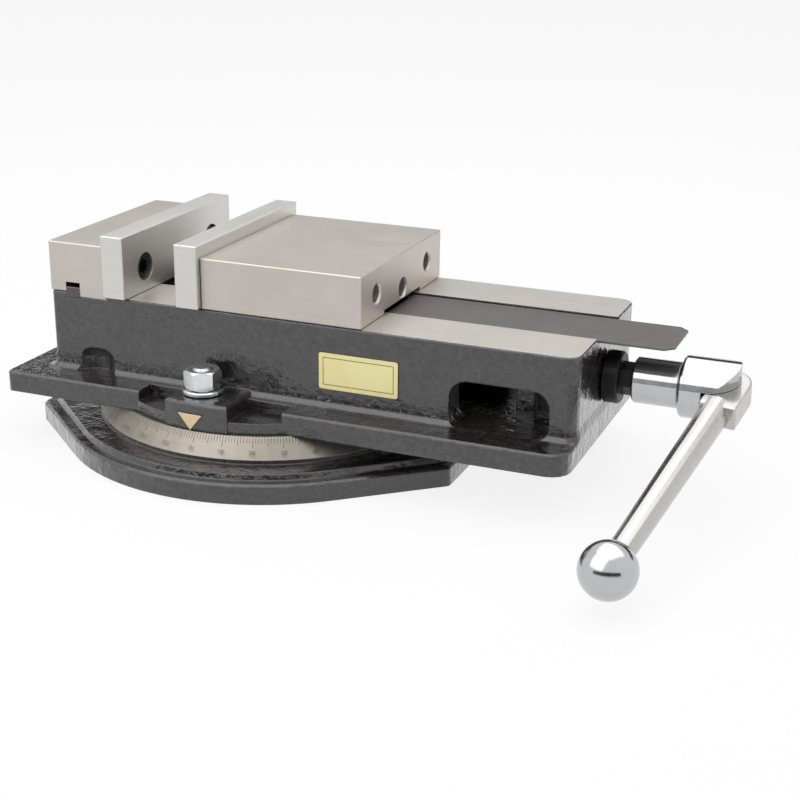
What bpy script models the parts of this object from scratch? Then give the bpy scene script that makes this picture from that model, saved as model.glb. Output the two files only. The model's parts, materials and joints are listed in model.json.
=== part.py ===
"""Milling machine vise: swivel base, cast body, angle-lock jaw and folding crank handle.

Metres, +Z up, +X from the fixed jaw to the handle. The origin is on the swivel axis, at the
underside of the base. Run it in Blender's text editor or in background mode.
"""

import math

import bmesh
import bpy
from mathutils import Matrix, Vector

# Fits shared by all pieces
SEAT_GAP = 0.0003
SLIDE_GAP = 0.0005
CUT_OVERRUN = 0.0040
EDGE_BREAK = 0.0006
WELD_DISTANCE = 0.00001

# Facets of round pieces
RING_FACETS = 72
SLOT_FACETS = 40
LARGE_FACETS = 30
KNOB_FACETS = 24
MEDIUM_FACETS = 20
SMALL_FACETS = 16
CORNER_FACETS = 4
SHARP_ANGLE = 32

# Swivel base
BASE_HEIGHT = 0.0332
BASE_PLATE_HEIGHT = 0.0135
BASE_STEP_HEIGHT = 0.0175
BASE_STEP_INSET = 0.0075
BASE_CHAMFER = 0.0015
RIM_WIDTH = 0.0249
EAR_OVERHANG = 0.0110
EAR_CORNER = 0.0060
EAR_WIDTH = 0.1160
EAR_INSET_SHARE = 0.75
EAR_SLOT_WIDTH = 0.0175
EAR_SLOT_LENGTH = 0.0305
RING_WALL = 0.0108
RING_BEVEL = 0.0090
RING_FOOT_HEIGHT = 0.0030
RING_CHAMFER = 0.0010
KEYWAY_WIDTH = 0.0160
KEYWAY_DEPTH = 0.0035
KEYWAY_LENGTH = 0.0600

# Clamping bolts between base and body
CLAMP_BOLT_X = -0.0077
CLAMP_BOLT_FROM_WALL = 0.01625
CLAMP_BOLT_RADIUS = 0.0070
CLAMP_HOLE_CLEARANCE = 0.0007
T_SLOT_NECK = 0.0165
T_SLOT_WIDTH = 0.0290
T_SLOT_LIP = 0.0100
T_SLOT_HEIGHT = 0.0105
T_HEAD_SIZE = 0.0260
T_HEAD_HEIGHT = 0.0092
WASHER_RADIUS = 0.0144
WASHER_THICKNESS = 0.0030
LOCK_NUT_FLATS = 0.0222
LOCK_NUT_TURN = 30
LOCK_NUT_HEIGHT = 0.0130
LOCK_NUT_CHAMFER = 0.0016
CLAMP_BOLT_STAND = 0.0014

# Pivot between base and body
PIVOT_RADIUS = 0.0150
PIVOT_DEPTH = 0.0200
PIVOT_STAND = 0.0080
PIVOT_CHAMFER = 0.0012

# Vise body
FIXED_FACE_X = -0.0735
BODY_LENGTH = 0.3808
BODY_HEIGHT = 0.0705
BODY_NEAR_CORNER = 0.0090
BODY_FAR_CORNER = 0.0030
BODY_FILLET = 0.0070
BODY_FILLET_STEPS = 3
BODY_EDGE_BREAK = 0.0008
FLANGE_LEDGE = 0.02325
FLANGE_THICKNESS = 0.0145
FLANGE_FAR_REACH = 0.0260
FLANGE_NEAR_REACH = 0.0015
FLANGE_NEAR_CORNER = 0.0140
FLANGE_FAR_CORNER = 0.0040
FLANGE_CHAMFER = 0.0012
FLANGE_DISC_SETBACK = 0.0015
FLANGE_DISC_THICKNESS = 0.0075
FLANGE_POCKET_LENGTH = 0.1080
FLANGE_POCKET_FROM_WALL = 0.00425
FLANGE_POCKET_CORNER = 0.0040
BOSS_BEYOND_BOLT = 0.0229
BOSS_WIDTH = 0.0465
BOSS_X = -0.0022
BOSS_RISE = 0.0040
BOSS_CHAMFER = 0.0014
BOSS_BURY = 0.00275
WALL_THICKNESS = 0.0195
FLOOR_THICKNESS = 0.0125
DECK_THICKNESS = 0.0220
CAVITY_CORNER = 0.0070
CAVITY_START_X = -0.0620
END_WALL = 0.0160
WEB_THICKNESS = 0.0125
WEB_WIDTH = 0.0700
WEB_TO_END_WALL = 0.0215
BED_SLOT_WIDTH = 0.0450
BED_SLOT_SHALLOW = 0.0150
BED_SLOT_START_X = -0.0800
BED_SLOT_TO_END = 0.0200
BED_SLOT_CORNER = 0.0060
LEDGE_WIDTH = 0.0540
LEDGE_DEPTH = 0.0030
WINDOW_LENGTH = 0.0670
WINDOW_TO_END = 0.0168
WINDOW_SILL = 0.0010
WINDOW_HEIGHT = 0.0305
WINDOW_CORNER = 0.0120
WRENCH_POCKET_TO_END = 0.0350
WRENCH_POCKET_RADIUS = 0.0165
WRENCH_POCKET_DEPTH = 0.0068
WRENCH_POCKET_HEIGHT = 0.0180
WRENCH_POCKET_CROWN = 0.0080

# Jaw blocks and jaw plates
FIXED_JAW_LENGTH = 0.0447
JAW_HEIGHT = 0.0353
JAW_PLATE_WIDTH = 0.1524
JAW_PLATE_OVERHANG = 0.00445
JAW_PLATE_THICKNESS = 0.0170
JAW_PLATE_HEIGHT = 0.0437
JAW_OPENING = 0.0399
MOVABLE_JAW_LENGTH = 0.1167
PLATE_SCREW_FROM_SIDE = 0.02475
PLATE_SCREW_RISE = 0.0177
PLATE_SCREW_RADIUS = 0.0060
PLATE_SCREW_REACH = 0.0160
PLATE_SCREW_HEAD_RADIUS = 0.0090
PLATE_SCREW_HEAD_HEIGHT = 0.0115
PLATE_COUNTERBORE_RADIUS = 0.0100
PLATE_COUNTERBORE_DEPTH = 0.0135
SOCKET_SHARE = 0.55
SCREW_BOTTOM_CLEARANCE = 0.0030

# Fixed jaw fastening
JAW_BOLT_FROM_FRONT = 0.0100
JAW_BOLT_Y = 0.0250
JAW_BOLT_RADIUS = 0.0060
JAW_BOLT_REACH = 0.0140
JAW_BOLT_HEAD_RADIUS = 0.0090
JAW_BOLT_HEAD_HEIGHT = 0.0120
JAW_BOLT_BORE_RADIUS = 0.0110
JAW_BOLT_SEAT_DEPTH = 0.0160
KEY_FROM_END = 0.0124
KEY_WIDTH = 0.0114
KEY_RISE = 0.0038
KEY_SINK = 0.0040
KEYWAY_RISE = 0.0073
TOE_DEPTH = 0.0025

# Angle lock inside the movable jaw
BALL_RADIUS = 0.0100
BALL_FROM_FRONT = 0.0121
BALL_RISE = 0.0040
LOCK_ANGLE = 45
LOCK_FACE_HALF = 0.0106
LOCK_FACE_GAP = 0.0010
LUG_WIDTH = 0.0276
LUG_REAR_FROM_FRONT = 0.0291
LUG_RISE = 0.0150
KEEL_DEPTH = 0.0145
KEEL_WIDTH = 0.0440
KEEL_FRONT_SETBACK = 0.0006
NUT_FRONT_SETBACK = -0.0039
NUT_WIDTH = 0.0680
NUT_BELOW_AXIS = 0.0215
NUT_TOP_CLEARANCE = 0.0006
NUT_CORNER = 0.0030
NUT_WALL_OVER_SCREW = 0.0044
ADJUSTER_RISE = 0.0105
ADJUSTER_RADIUS = 0.0050
ADJUSTER_LENGTH = 0.0200
REAR_BORE_RADIUS = 0.0064
REAR_BORE_MOUTH = 0.0076
REAR_BORE_CHAMFER = 0.0012
REAR_HOLE_DEPTH = 0.0300
REAR_HOLE_FROM_SIDE = 0.02635
REAR_HOLE_RISE = 0.0180
GUARD_NOTCH_WIDTH = 0.0660
GUARD_NOTCH_HEIGHT = 0.0032
GUARD_NOTCH_LENGTH = 0.0800

# Lead screw and its bearings
SCREW_BELOW_BED = 0.0325
SCREW_RADIUS = 0.0127
SCREW_FAR_JOURNAL_RADIUS = 0.0090
SCREW_JOURNAL_RADIUS = 0.0110
SCREW_SHOULDER_RADIUS = 0.0155
SCREW_SHOULDER_LENGTH = 0.0060
SCREW_CHAMFER = 0.0010
BUSH_RADIUS = 0.0120
BUSH_LENGTH = 0.0160
THRUST_RADIUS = 0.0165
THRUST_WASHER = 0.0020
THRUST_CAGE = 0.0030
THRUST_RECESS_RADIUS = 0.0175
THRUST_RECESS_DEPTH = 0.0070
COLLAR_RADIUS = 0.0175
COLLAR_LENGTH = 0.0110
COLLAR_CHAMFER = 0.0012
COLLAR_PIN_RADIUS = 0.0025
HEX_FLATS = 0.01905
HEX_NECK = 0.0086
HEX_GRIP = 0.0250

# Handle
HANDLE_ROLL = 13.7
HANDLE_TILT = 8.0
HANDLE_LENGTH = 0.1960
HUB_RADIUS = 0.01525
HUB_LENGTH = 0.0310
HUB_CHAMFER = 0.0012
HUB_GROOVE = 0.0010
FORK_RADIUS = 0.0204
FORK_LENGTH = 0.0375
FORK_COLLAR = 0.0095
FORK_ROUND = 0.0024
FORK_TIP_FLAT = 0.0030
PIN_FROM_TIP = 0.0075
PIN_RADIUS = 0.0040
PIN_BURY = 0.0050
TONGUE_THICKNESS = 0.0162
TONGUE_RADIUS = 0.0140
TONGUE_LEFT = 0.0100
TONGUE_LENGTH = 0.0300
TONGUE_ROUND = 0.0012
FORK_STOP_CLEARANCE = 0.0006
ARM_RADIUS = 0.0100
ARM_END_RADIUS = 0.0080
ARM_ROOT = 0.0220
KNOB_RADIUS = 0.0175
KNOB_BORE_DEPTH = 0.0200
ARM_SPIGOT_RADIUS = 0.0060

# Chip guard
GUARD_WIDTH = 0.0510
GUARD_THICKNESS = 0.0015
GUARD_LENGTH = 0.1950
GUARD_END_X = 0.2935
GUARD_CORNER = 0.0060

# Plates on the body
LABEL_LENGTH = 0.0559
LABEL_HEIGHT = 0.0248
LABEL_THICKNESS = 0.0008
LABEL_CENTRE_X = 0.0988
LABEL_CENTRE_BELOW_BED = 0.0304
LABEL_CORNER = 0.0015
POINTER_WIDTH = 0.0177
POINTER_HEIGHT = 0.0108
POINTER_THICKNESS = 0.0010
POINTER_X = -0.0047

# Widths and radii worked out from the sizes above
BODY_WIDTH = JAW_PLATE_WIDTH - 2 * JAW_PLATE_OVERHANG
CLAMP_BOLT_Y = BODY_WIDTH / 2 + CLAMP_BOLT_FROM_WALL
CLAMP_CIRCLE = math.hypot(CLAMP_BOLT_X, CLAMP_BOLT_Y)
RING_RADIUS = CLAMP_CIRCLE + T_SLOT_WIDTH / 2 + RING_WALL
BASE_RADIUS = RING_RADIUS + RING_BEVEL + RIM_WIDTH
EAR_REACH = BASE_RADIUS + EAR_OVERHANG
FLANGE_WIDTH = BODY_WIDTH + 2 * FLANGE_LEDGE
BOSS_RADIUS = CLAMP_CIRCLE + BOSS_BEYOND_BOLT
FLANGE_DISC_RADIUS = BOSS_RADIUS - FLANGE_DISC_SETBACK
PLATE_SCREW_Y = BODY_WIDTH / 2 - PLATE_SCREW_FROM_SIDE
REAR_HOLE_Y = BODY_WIDTH / 2 - REAR_HOLE_FROM_SIDE

# Heights and stations worked out from the sizes above
BODY_BOTTOM = BASE_HEIGHT + SEAT_GAP
BED_Z = BODY_BOTTOM + BODY_HEIGHT
FLANGE_TOP = BODY_BOTTOM + FLANGE_THICKNESS
DISC_TOP = BODY_BOTTOM + FLANGE_DISC_THICKNESS
BOSS_TOP = FLANGE_TOP + BOSS_RISE
SCREW_Z = BED_Z - SCREW_BELOW_BED
BODY_FAR_X = FIXED_FACE_X - JAW_PLATE_THICKNESS - SEAT_GAP - FIXED_JAW_LENGTH
BODY_NEAR_X = BODY_FAR_X + BODY_LENGTH
END_WALL_X = BODY_NEAR_X - END_WALL
MOVABLE_FACE_X = FIXED_FACE_X + JAW_OPENING
BLOCK_FRONT_X = MOVABLE_FACE_X + JAW_PLATE_THICKNESS + SEAT_GAP
BLOCK_REAR_X = BLOCK_FRONT_X + MOVABLE_JAW_LENGTH
FIXED_BLOCK_X = FIXED_FACE_X - JAW_PLATE_THICKNESS - SEAT_GAP
JAW_BOTTOM = BED_Z + SEAT_GAP
COLLAR_X = BODY_NEAR_X + SEAT_GAP
HUB_X = COLLAR_X + COLLAR_LENGTH + HEX_NECK
FORK_X = HUB_X + HUB_LENGTH
PIN_X = FORK_X + FORK_LENGTH - PIN_FROM_TIP


# Materials

def make_finish(name, colour, metallic, roughness):
    """A plain material with one colour, for the pieces of one finish."""
    material = bpy.data.materials.new(name)
    material.use_nodes = True
    shader = material.node_tree.nodes["Principled BSDF"]
    shader.inputs["Base Color"].default_value = (*colour, 1.0)
    shader.inputs["Metallic"].default_value = metallic
    shader.inputs["Roughness"].default_value = roughness
    material.diffuse_color = (*colour, 1.0)
    return material


# Outlines, as lists of points in a plane

def arc(centre, radius, start, end, steps):
    """Points along an arc; the angles are in degrees."""
    points = []
    for step in range(steps + 1):
        angle = math.radians(start + (end - start) * step / steps)
        x = centre[0] + radius * math.cos(angle)
        y = centre[1] + radius * math.sin(angle)
        points.append((x, y))
    return points


def rounded_box(left, right, low, high, radii):
    """A rectangle whose four corner radii are given from the lower left, counter-clockwise."""
    centres = (
        (left + radii[0], low + radii[0]),
        (right - radii[1], low + radii[1]),
        (right - radii[2], high - radii[2]),
        (left + radii[3], high - radii[3]),
    )
    points = []
    for corner, centre in enumerate(centres):
        start = 180 + 90 * corner
        points += arc(centre, radii[corner], start, start + 90, CORNER_FACETS)
    return points


def hexagon(flats):
    """A hexagon with two corners on the first axis."""
    return arc((0, 0), flats / math.sqrt(3), 0, 300, 5)


def base_outline(inset):
    """The base seen from above: a disc with two broad ears, drawn in by an inset.

    The ears' sides are tangents of the disc, and round corners join them to the ends.
    """
    radius = BASE_RADIUS - inset
    reach = EAR_REACH - inset
    half = EAR_WIDTH / 2 - inset * EAR_INSET_SHARE
    corner_angle = math.degrees(math.atan2(half, reach))
    touch = corner_angle + math.degrees(math.acos(radius / math.hypot(half, reach)))
    x = reach - EAR_CORNER
    slope = math.radians(touch)
    y = (radius - EAR_CORNER - x * math.cos(slope)) / math.sin(slope)
    points = []
    for side in (0, 180):
        sign = 1 if side == 0 else -1
        points += arc((sign * x, sign * y), EAR_CORNER, side, side + touch, CORNER_FACETS)
        points += arc((0, 0), radius, side + touch, side + 180 - touch, RING_FACETS // 3)
        points += arc((-sign * x, sign * y), EAR_CORNER, side + 180 - touch, side + 180, CORNER_FACETS)
    return points


# Solids

AXES = {
    "X": Matrix(((0, 0, 1), (1, 0, 0), (0, 1, 0))).to_4x4(),
    "Y": Matrix(((1, 0, 0), (0, 0, 1), (0, 1, 0))).to_4x4(),
    "Z": Matrix.Identity(4),
}


def solid(name, mesh_builder):
    """A new object in the scene whose mesh comes from a bmesh, with its faces turned out."""
    bmesh.ops.recalc_face_normals(mesh_builder, faces=mesh_builder.faces)
    mesh = bpy.data.meshes.new(name)
    mesh_builder.to_mesh(mesh)
    mesh_builder.free()
    shape = bpy.data.objects.new(name, mesh)
    bpy.context.scene.collection.objects.link(shape)
    return shape


def loft(name, layers, axis="Z"):
    """A solid through layers of equal point count; each layer is (outline, height)."""
    builder = bmesh.new()
    turn = AXES[axis]
    rings = []
    for outline, height in layers:
        rings.append([builder.verts.new(turn @ Vector((*point, height))) for point in outline])
    count = len(rings[0])
    for lower, upper in zip(rings, rings[1:]):
        for here in range(count):
            after = (here + 1) % count
            builder.faces.new((lower[here], lower[after], upper[after], upper[here]))
    builder.faces.new(rings[0])
    builder.faces.new(rings[-1])
    return solid(name, builder)


def prism(name, outline, start, end, axis="Z"):
    """An outline pushed along an axis."""
    return loft(name, [(outline, start), (outline, end)], axis)


def slab(name, left, right, low, high, start, end, axis="Z"):
    """A plain block."""
    outline = [(left, low), (right, low), (right, high), (left, high)]
    return prism(name, outline, start, end, axis)


def turned(name, profile, facets, axis="Z", centre=(0, 0, 0)):
    """A solid turned about an axis from (radius, height) points; radius 0 is on the axis."""
    builder = bmesh.new()
    turn = Matrix.Translation(centre) @ AXES[axis]
    rings = []
    for radius, height in profile:
        if radius == 0:
            rings.append([builder.verts.new(turn @ Vector((0, 0, height)))])
            continue
        ring = []
        for facet in range(facets):
            angle = math.tau * facet / facets
            point = Vector((radius * math.cos(angle), radius * math.sin(angle), height))
            ring.append(builder.verts.new(turn @ point))
        rings.append(ring)
    on_axis = len(rings[0]) == 1
    pairs = list(zip(rings, rings[1:]))
    if not on_axis:
        pairs.append((rings[-1], rings[0]))
    for first, second in pairs:
        for here in range(facets):
            after = (here + 1) % facets
            if len(first) == 1:
                builder.faces.new((first[0], second[here], second[after]))
            elif len(second) == 1:
                builder.faces.new((first[here], first[after], second[0]))
            else:
                builder.faces.new((first[here], first[after], second[after], second[here]))
    return solid(name, builder)


def rod(name, radius, start, end, facets, axis="Z", centre=(0, 0, 0), chamfer=0.0):
    """A round bar, with both ends chamfered if asked."""
    profile = [(0, start)]
    if chamfer:
        profile += [(radius - chamfer, start), (radius, start + chamfer)]
        profile += [(radius, end - chamfer), (radius - chamfer, end)]
    else:
        profile += [(radius, start), (radius, end)]
    profile.append((0, end))
    return turned(name, profile, facets, axis, centre)


def ring(name, inner, outer, start, end, facets, axis="Z", centre=(0, 0, 0), chamfer=0.0):
    """A washer, bush or collar."""
    profile = [(inner, start), (outer - chamfer, start)]
    if chamfer:
        profile += [(outer, start + chamfer), (outer, end - chamfer)]
    profile += [(outer - chamfer, end), (inner, end)]
    return turned(name, profile, facets, axis, centre)


def ball(name, radius, centre, facets):
    """A full sphere."""
    profile = [(0, -radius)]
    profile += [(x, y) for x, y in arc((0, 0), radius, -90, 90, facets // 2)[1:-1]]
    profile.append((0, radius))
    return turned(name, profile, facets, "Z", centre)


# Operations on solids

def settle(target):
    """Keeps the evaluated shape as the mesh and drops the modifiers."""
    graph = bpy.context.evaluated_depsgraph_get()
    mesh = bpy.data.meshes.new_from_object(target.evaluated_get(graph))
    old = target.data
    target.modifiers.clear()
    target.data = mesh
    bpy.data.meshes.remove(old)
    mesh.name = target.name
    return target


def weld(target):
    """Merges points that a Boolean left almost on top of each other."""
    builder = bmesh.new()
    builder.from_mesh(target.data)
    bmesh.ops.remove_doubles(builder, verts=builder.verts, dist=WELD_DISTANCE)
    bmesh.ops.dissolve_degenerate(builder, edges=builder.edges, dist=WELD_DISTANCE)
    builder.to_mesh(target.data)
    builder.free()
    return target


def combine(target, tools, operation):
    """Runs one Boolean for each tool, then removes the tools."""
    for tool in tools:
        modifier = target.modifiers.new("combine", "BOOLEAN")
        modifier.operation = operation
        modifier.solver = "EXACT"
        modifier.object = tool
        tool.hide_render = True
        tool.display_type = "WIRE"
        settle(target)
        weld(target)
        bpy.data.objects.remove(tool)
    return target


def cut(target, *tools):
    return combine(target, tools, "DIFFERENCE")


def join(target, *tools):
    return combine(target, tools, "UNION")


def keep_inside(target, *tools):
    return combine(target, tools, "INTERSECT")


def break_edges(target, width, segments=1):
    """Bevels every sharp edge."""
    modifier = target.modifiers.new("edges", "BEVEL")
    modifier.width = width
    modifier.segments = segments
    modifier.limit_method = "ANGLE"
    modifier.angle_limit = math.radians(SHARP_ANGLE)
    return settle(target)


def move(target, matrix):
    """Moves the mesh itself, so that the object stays at the origin of its parent."""
    target.data.transform(matrix)
    return target


def mirrored(tools_for):
    """The same tools for the front and the rear side, made by a function of the side's sign."""
    return [tool for side in (-1, 1) for tool in tools_for(side)]


def finish(target, material, parent=None):
    """Shades a piece, gives it its material and hangs it on its parent."""
    target.data.shade_smooth()
    target.data.set_sharp_from_angle(angle=math.radians(SHARP_ANGLE))
    target.data.materials.clear()
    target.data.materials.append(material)
    if parent:
        bpy.context.view_layer.update()
        target.parent = parent
        target.matrix_parent_inverse = parent.matrix_world.inverted()
    return target


def joint_frame(name, place, parent=None, rotation=None):
    """An empty on a joint's axis, which carries the pieces that move about it."""
    frame = bpy.data.objects.new(name, None)
    bpy.context.scene.collection.objects.link(frame)
    matrix = Matrix.Translation(place)
    if rotation:
        matrix = matrix @ rotation
    if parent:
        frame.parent = parent
        frame.matrix_parent_inverse = parent.matrix_world.inverted()
    frame.matrix_basis = matrix
    bpy.context.view_layer.update()
    return frame


# Fasteners

def cap_screw(name, radius, reach, head_radius, head_height, place):
    """A socket head screw; its head's top is at the origin, and the shank points down."""
    chamfer = EDGE_BREAK
    profile = [
        (0, -head_height - reach),
        (radius - chamfer, -head_height - reach),
        (radius, -head_height - reach + chamfer),
        (radius, -head_height),
        (head_radius, -head_height),
        (head_radius, -chamfer),
        (head_radius - chamfer, 0),
        (0, 0),
    ]
    screw = turned(name, profile, SMALL_FACETS)
    socket_flats = 2 * head_radius * SOCKET_SHARE
    socket_depth = head_height * SOCKET_SHARE
    cut(screw, prism("socket", hexagon(socket_flats), -socket_depth, CUT_OVERRUN))
    return move(screw, place)


def lock_nut(name, place):
    """A hexagon nut with its corners chamfered."""
    corner = LOCK_NUT_FLATS / math.sqrt(3)
    nut = prism(name, hexagon(LOCK_NUT_FLATS), 0, LOCK_NUT_HEIGHT)
    keep_inside(nut, rod("crown", corner, 0, LOCK_NUT_HEIGHT, LARGE_FACETS, chamfer=LOCK_NUT_CHAMFER))
    bore = CLAMP_BOLT_RADIUS + SEAT_GAP
    cut(nut, rod("bore", bore, -CUT_OVERRUN, LOCK_NUT_HEIGHT + CUT_OVERRUN, MEDIUM_FACETS))
    return move(nut, place @ Matrix.Rotation(math.radians(LOCK_NUT_TURN), 4, "Z"))


# The swivel base

def make_swivel_base(material):
    step = BASE_STEP_INSET
    layers = [
        (base_outline(0), 0),
        (base_outline(0), BASE_PLATE_HEIGHT - BASE_CHAMFER),
        (base_outline(BASE_CHAMFER), BASE_PLATE_HEIGHT),
        (base_outline(step), BASE_PLATE_HEIGHT),
        (base_outline(step + BASE_CHAMFER), BASE_STEP_HEIGHT),
    ]
    base = loft("swivel_base", layers)
    profile = [
        (0, BASE_PLATE_HEIGHT / 2),
        (RING_RADIUS + RING_BEVEL, BASE_PLATE_HEIGHT / 2),
        (RING_RADIUS + RING_BEVEL, BASE_STEP_HEIGHT + RING_FOOT_HEIGHT),
        (RING_RADIUS, BASE_HEIGHT - RING_CHAMFER),
        (RING_RADIUS - RING_CHAMFER, BASE_HEIGHT),
        (0, BASE_HEIGHT),
    ]
    join(base, turned("swivel_ring", profile, RING_FACETS))
    lip = BASE_HEIGHT - T_SLOT_LIP
    floor = lip - T_SLOT_HEIGHT
    slot = [
        (CLAMP_CIRCLE - T_SLOT_NECK / 2, BASE_HEIGHT + CUT_OVERRUN),
        (CLAMP_CIRCLE - T_SLOT_NECK / 2, lip),
        (CLAMP_CIRCLE - T_SLOT_WIDTH / 2, lip),
        (CLAMP_CIRCLE - T_SLOT_WIDTH / 2, floor),
        (CLAMP_CIRCLE + T_SLOT_WIDTH / 2, floor),
        (CLAMP_CIRCLE + T_SLOT_WIDTH / 2, lip),
        (CLAMP_CIRCLE + T_SLOT_NECK / 2, lip),
        (CLAMP_CIRCLE + T_SLOT_NECK / 2, BASE_HEIGHT + CUT_OVERRUN),
    ]
    entry_radius = T_SLOT_WIDTH / 2 + SEAT_GAP
    entry_top = BASE_HEIGHT + 2 * CUT_OVERRUN
    entry = rod("t_slot_entry", entry_radius, floor + SEAT_GAP, entry_top, MEDIUM_FACETS, "Z",
                (CLAMP_CIRCLE, 0, 0))
    pivot = rod("pivot_bore", PIVOT_RADIUS + SEAT_GAP, BASE_HEIGHT - PIVOT_DEPTH,
                BASE_HEIGHT + CUT_OVERRUN, LARGE_FACETS)
    cut(base, turned("t_slot", slot, SLOT_FACETS), entry, pivot)

    def ear_slot(side):
        mouth = side * (EAR_REACH + CUT_OVERRUN)
        end = side * (EAR_REACH - EAR_SLOT_LENGTH + EAR_SLOT_WIDTH / 2)
        half = EAR_SLOT_WIDTH / 2
        points = [(mouth, side * half)]
        points += arc((end, 0), half, 90 if side > 0 else 270, 270 if side > 0 else 450, 2 * CORNER_FACETS)
        points.append((mouth, -side * half))
        yield prism("ear_slot", points, -CUT_OVERRUN, BASE_HEIGHT)

    def keyway(side):
        half = KEYWAY_WIDTH / 2
        ends = sorted((side * (EAR_REACH - KEYWAY_LENGTH), side * (EAR_REACH + CUT_OVERRUN)))
        yield slab("keyway", *ends, -half, half, -CUT_OVERRUN, KEYWAY_DEPTH)

    cut(base, *mirrored(ear_slot), *mirrored(keyway))
    return finish(base, material)


def make_pivot_pin(material):
    low = BASE_HEIGHT - PIVOT_DEPTH + SEAT_GAP
    high = BASE_HEIGHT + PIVOT_STAND
    pin = rod("pivot_pin", PIVOT_RADIUS, low, high, LARGE_FACETS, chamfer=PIVOT_CHAMFER)
    return finish(pin, material)


# The vise body

def boss_outline(side, inset):
    """One clamping boss seen from above: a sector of a disc about the swivel axis."""
    radius = BOSS_RADIUS - inset
    left = BOSS_X - BOSS_WIDTH / 2 + inset
    right = BOSS_X + BOSS_WIDTH / 2 - inset
    start, end = (side * math.degrees(math.acos(x / radius)) for x in (left, right))
    root = side * (BODY_WIDTH / 2 - BOSS_BURY)
    return arc((0, 0), radius, start, end, 2 * CORNER_FACETS) + [(right, root), (left, root)]


def body_outline(grow):
    """The body's walls seen from above, widened by the fillet at their foot."""
    near = min(grow, FLANGE_NEAR_REACH)
    half = BODY_WIDTH / 2 + grow
    far_corner = BODY_FAR_CORNER + max(grow, 0)
    near_corner = BODY_NEAR_CORNER + max(near, 0)
    radii = (far_corner, near_corner, near_corner, far_corner)
    return rounded_box(BODY_FAR_X - grow, BODY_NEAR_X + near, -half, half, radii)


def boss_layers(side):
    outer = boss_outline(side, 0)
    inner = boss_outline(side, BOSS_CHAMFER)
    return [(outer, BODY_BOTTOM), (outer, BOSS_TOP - BOSS_CHAMFER), (inner, BOSS_TOP)]


def make_flange():
    half = FLANGE_WIDTH / 2
    radii = (FLANGE_FAR_CORNER, FLANGE_NEAR_CORNER, FLANGE_NEAR_CORNER, FLANGE_FAR_CORNER)
    left = BODY_FAR_X - FLANGE_FAR_REACH
    right = BODY_NEAR_X + FLANGE_NEAR_REACH
    chamfer = FLANGE_CHAMFER
    inner_radii = [max(radius - chamfer, chamfer) for radius in radii]
    outer = rounded_box(left, right, -half, half, radii)
    inner = rounded_box(left + chamfer, right - chamfer, chamfer - half, half - chamfer, inner_radii)
    layers = [(outer, BODY_BOTTOM), (outer, FLANGE_TOP - chamfer), (inner, FLANGE_TOP)]
    flange = loft("vise_body", layers)

    def rim_pocket(side):
        start = BODY_WIDTH / 2 + FLANGE_POCKET_FROM_WALL
        ends = sorted((side * start, side * (half + CUT_OVERRUN)))
        length = FLANGE_POCKET_LENGTH / 2
        corner = [FLANGE_POCKET_CORNER] * 4
        yield prism("rim_pocket", rounded_box(-length, length, *ends, corner), DISC_TOP,
                    FLANGE_TOP + CUT_OVERRUN)

    cut(flange, *mirrored(rim_pocket))
    disc = rod("flange_disc", FLANGE_DISC_RADIUS, BODY_BOTTOM, DISC_TOP, RING_FACETS)
    bosses = [loft("clamp_boss", boss_layers(side)) for side in (-1, 1)]
    return join(flange, disc, *bosses)


def make_walls():
    """The block above the flange, with its foot flared into a fillet."""
    layers = [(body_outline(BODY_FILLET), FLANGE_TOP - FLANGE_THICKNESS / 4)]
    for x, y in arc((BODY_FILLET, BODY_FILLET), BODY_FILLET, 270, 180, BODY_FILLET_STEPS):
        layers.append((body_outline(x), FLANGE_TOP + y))
    layers.append((body_outline(0), BED_Z - BODY_EDGE_BREAK))
    layers.append((body_outline(-BODY_EDGE_BREAK), BED_Z))
    return loft("walls", layers)


def cavity_outline():
    half = BODY_WIDTH / 2 - WALL_THICKNESS
    low = BODY_BOTTOM + FLOOR_THICKNESS
    high = BED_Z - DECK_THICKNESS
    return rounded_box(-half, half, low, high, [CAVITY_CORNER] * 4)


def window_outline():
    right = BODY_NEAR_X - WINDOW_TO_END
    low = FLANGE_TOP + WINDOW_SILL
    corners = (WINDOW_CORNER / 2, WINDOW_CORNER / 2, WINDOW_CORNER, WINDOW_CORNER)
    return rounded_box(right - WINDOW_LENGTH, right, low, low + WINDOW_HEIGHT, corners)


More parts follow.
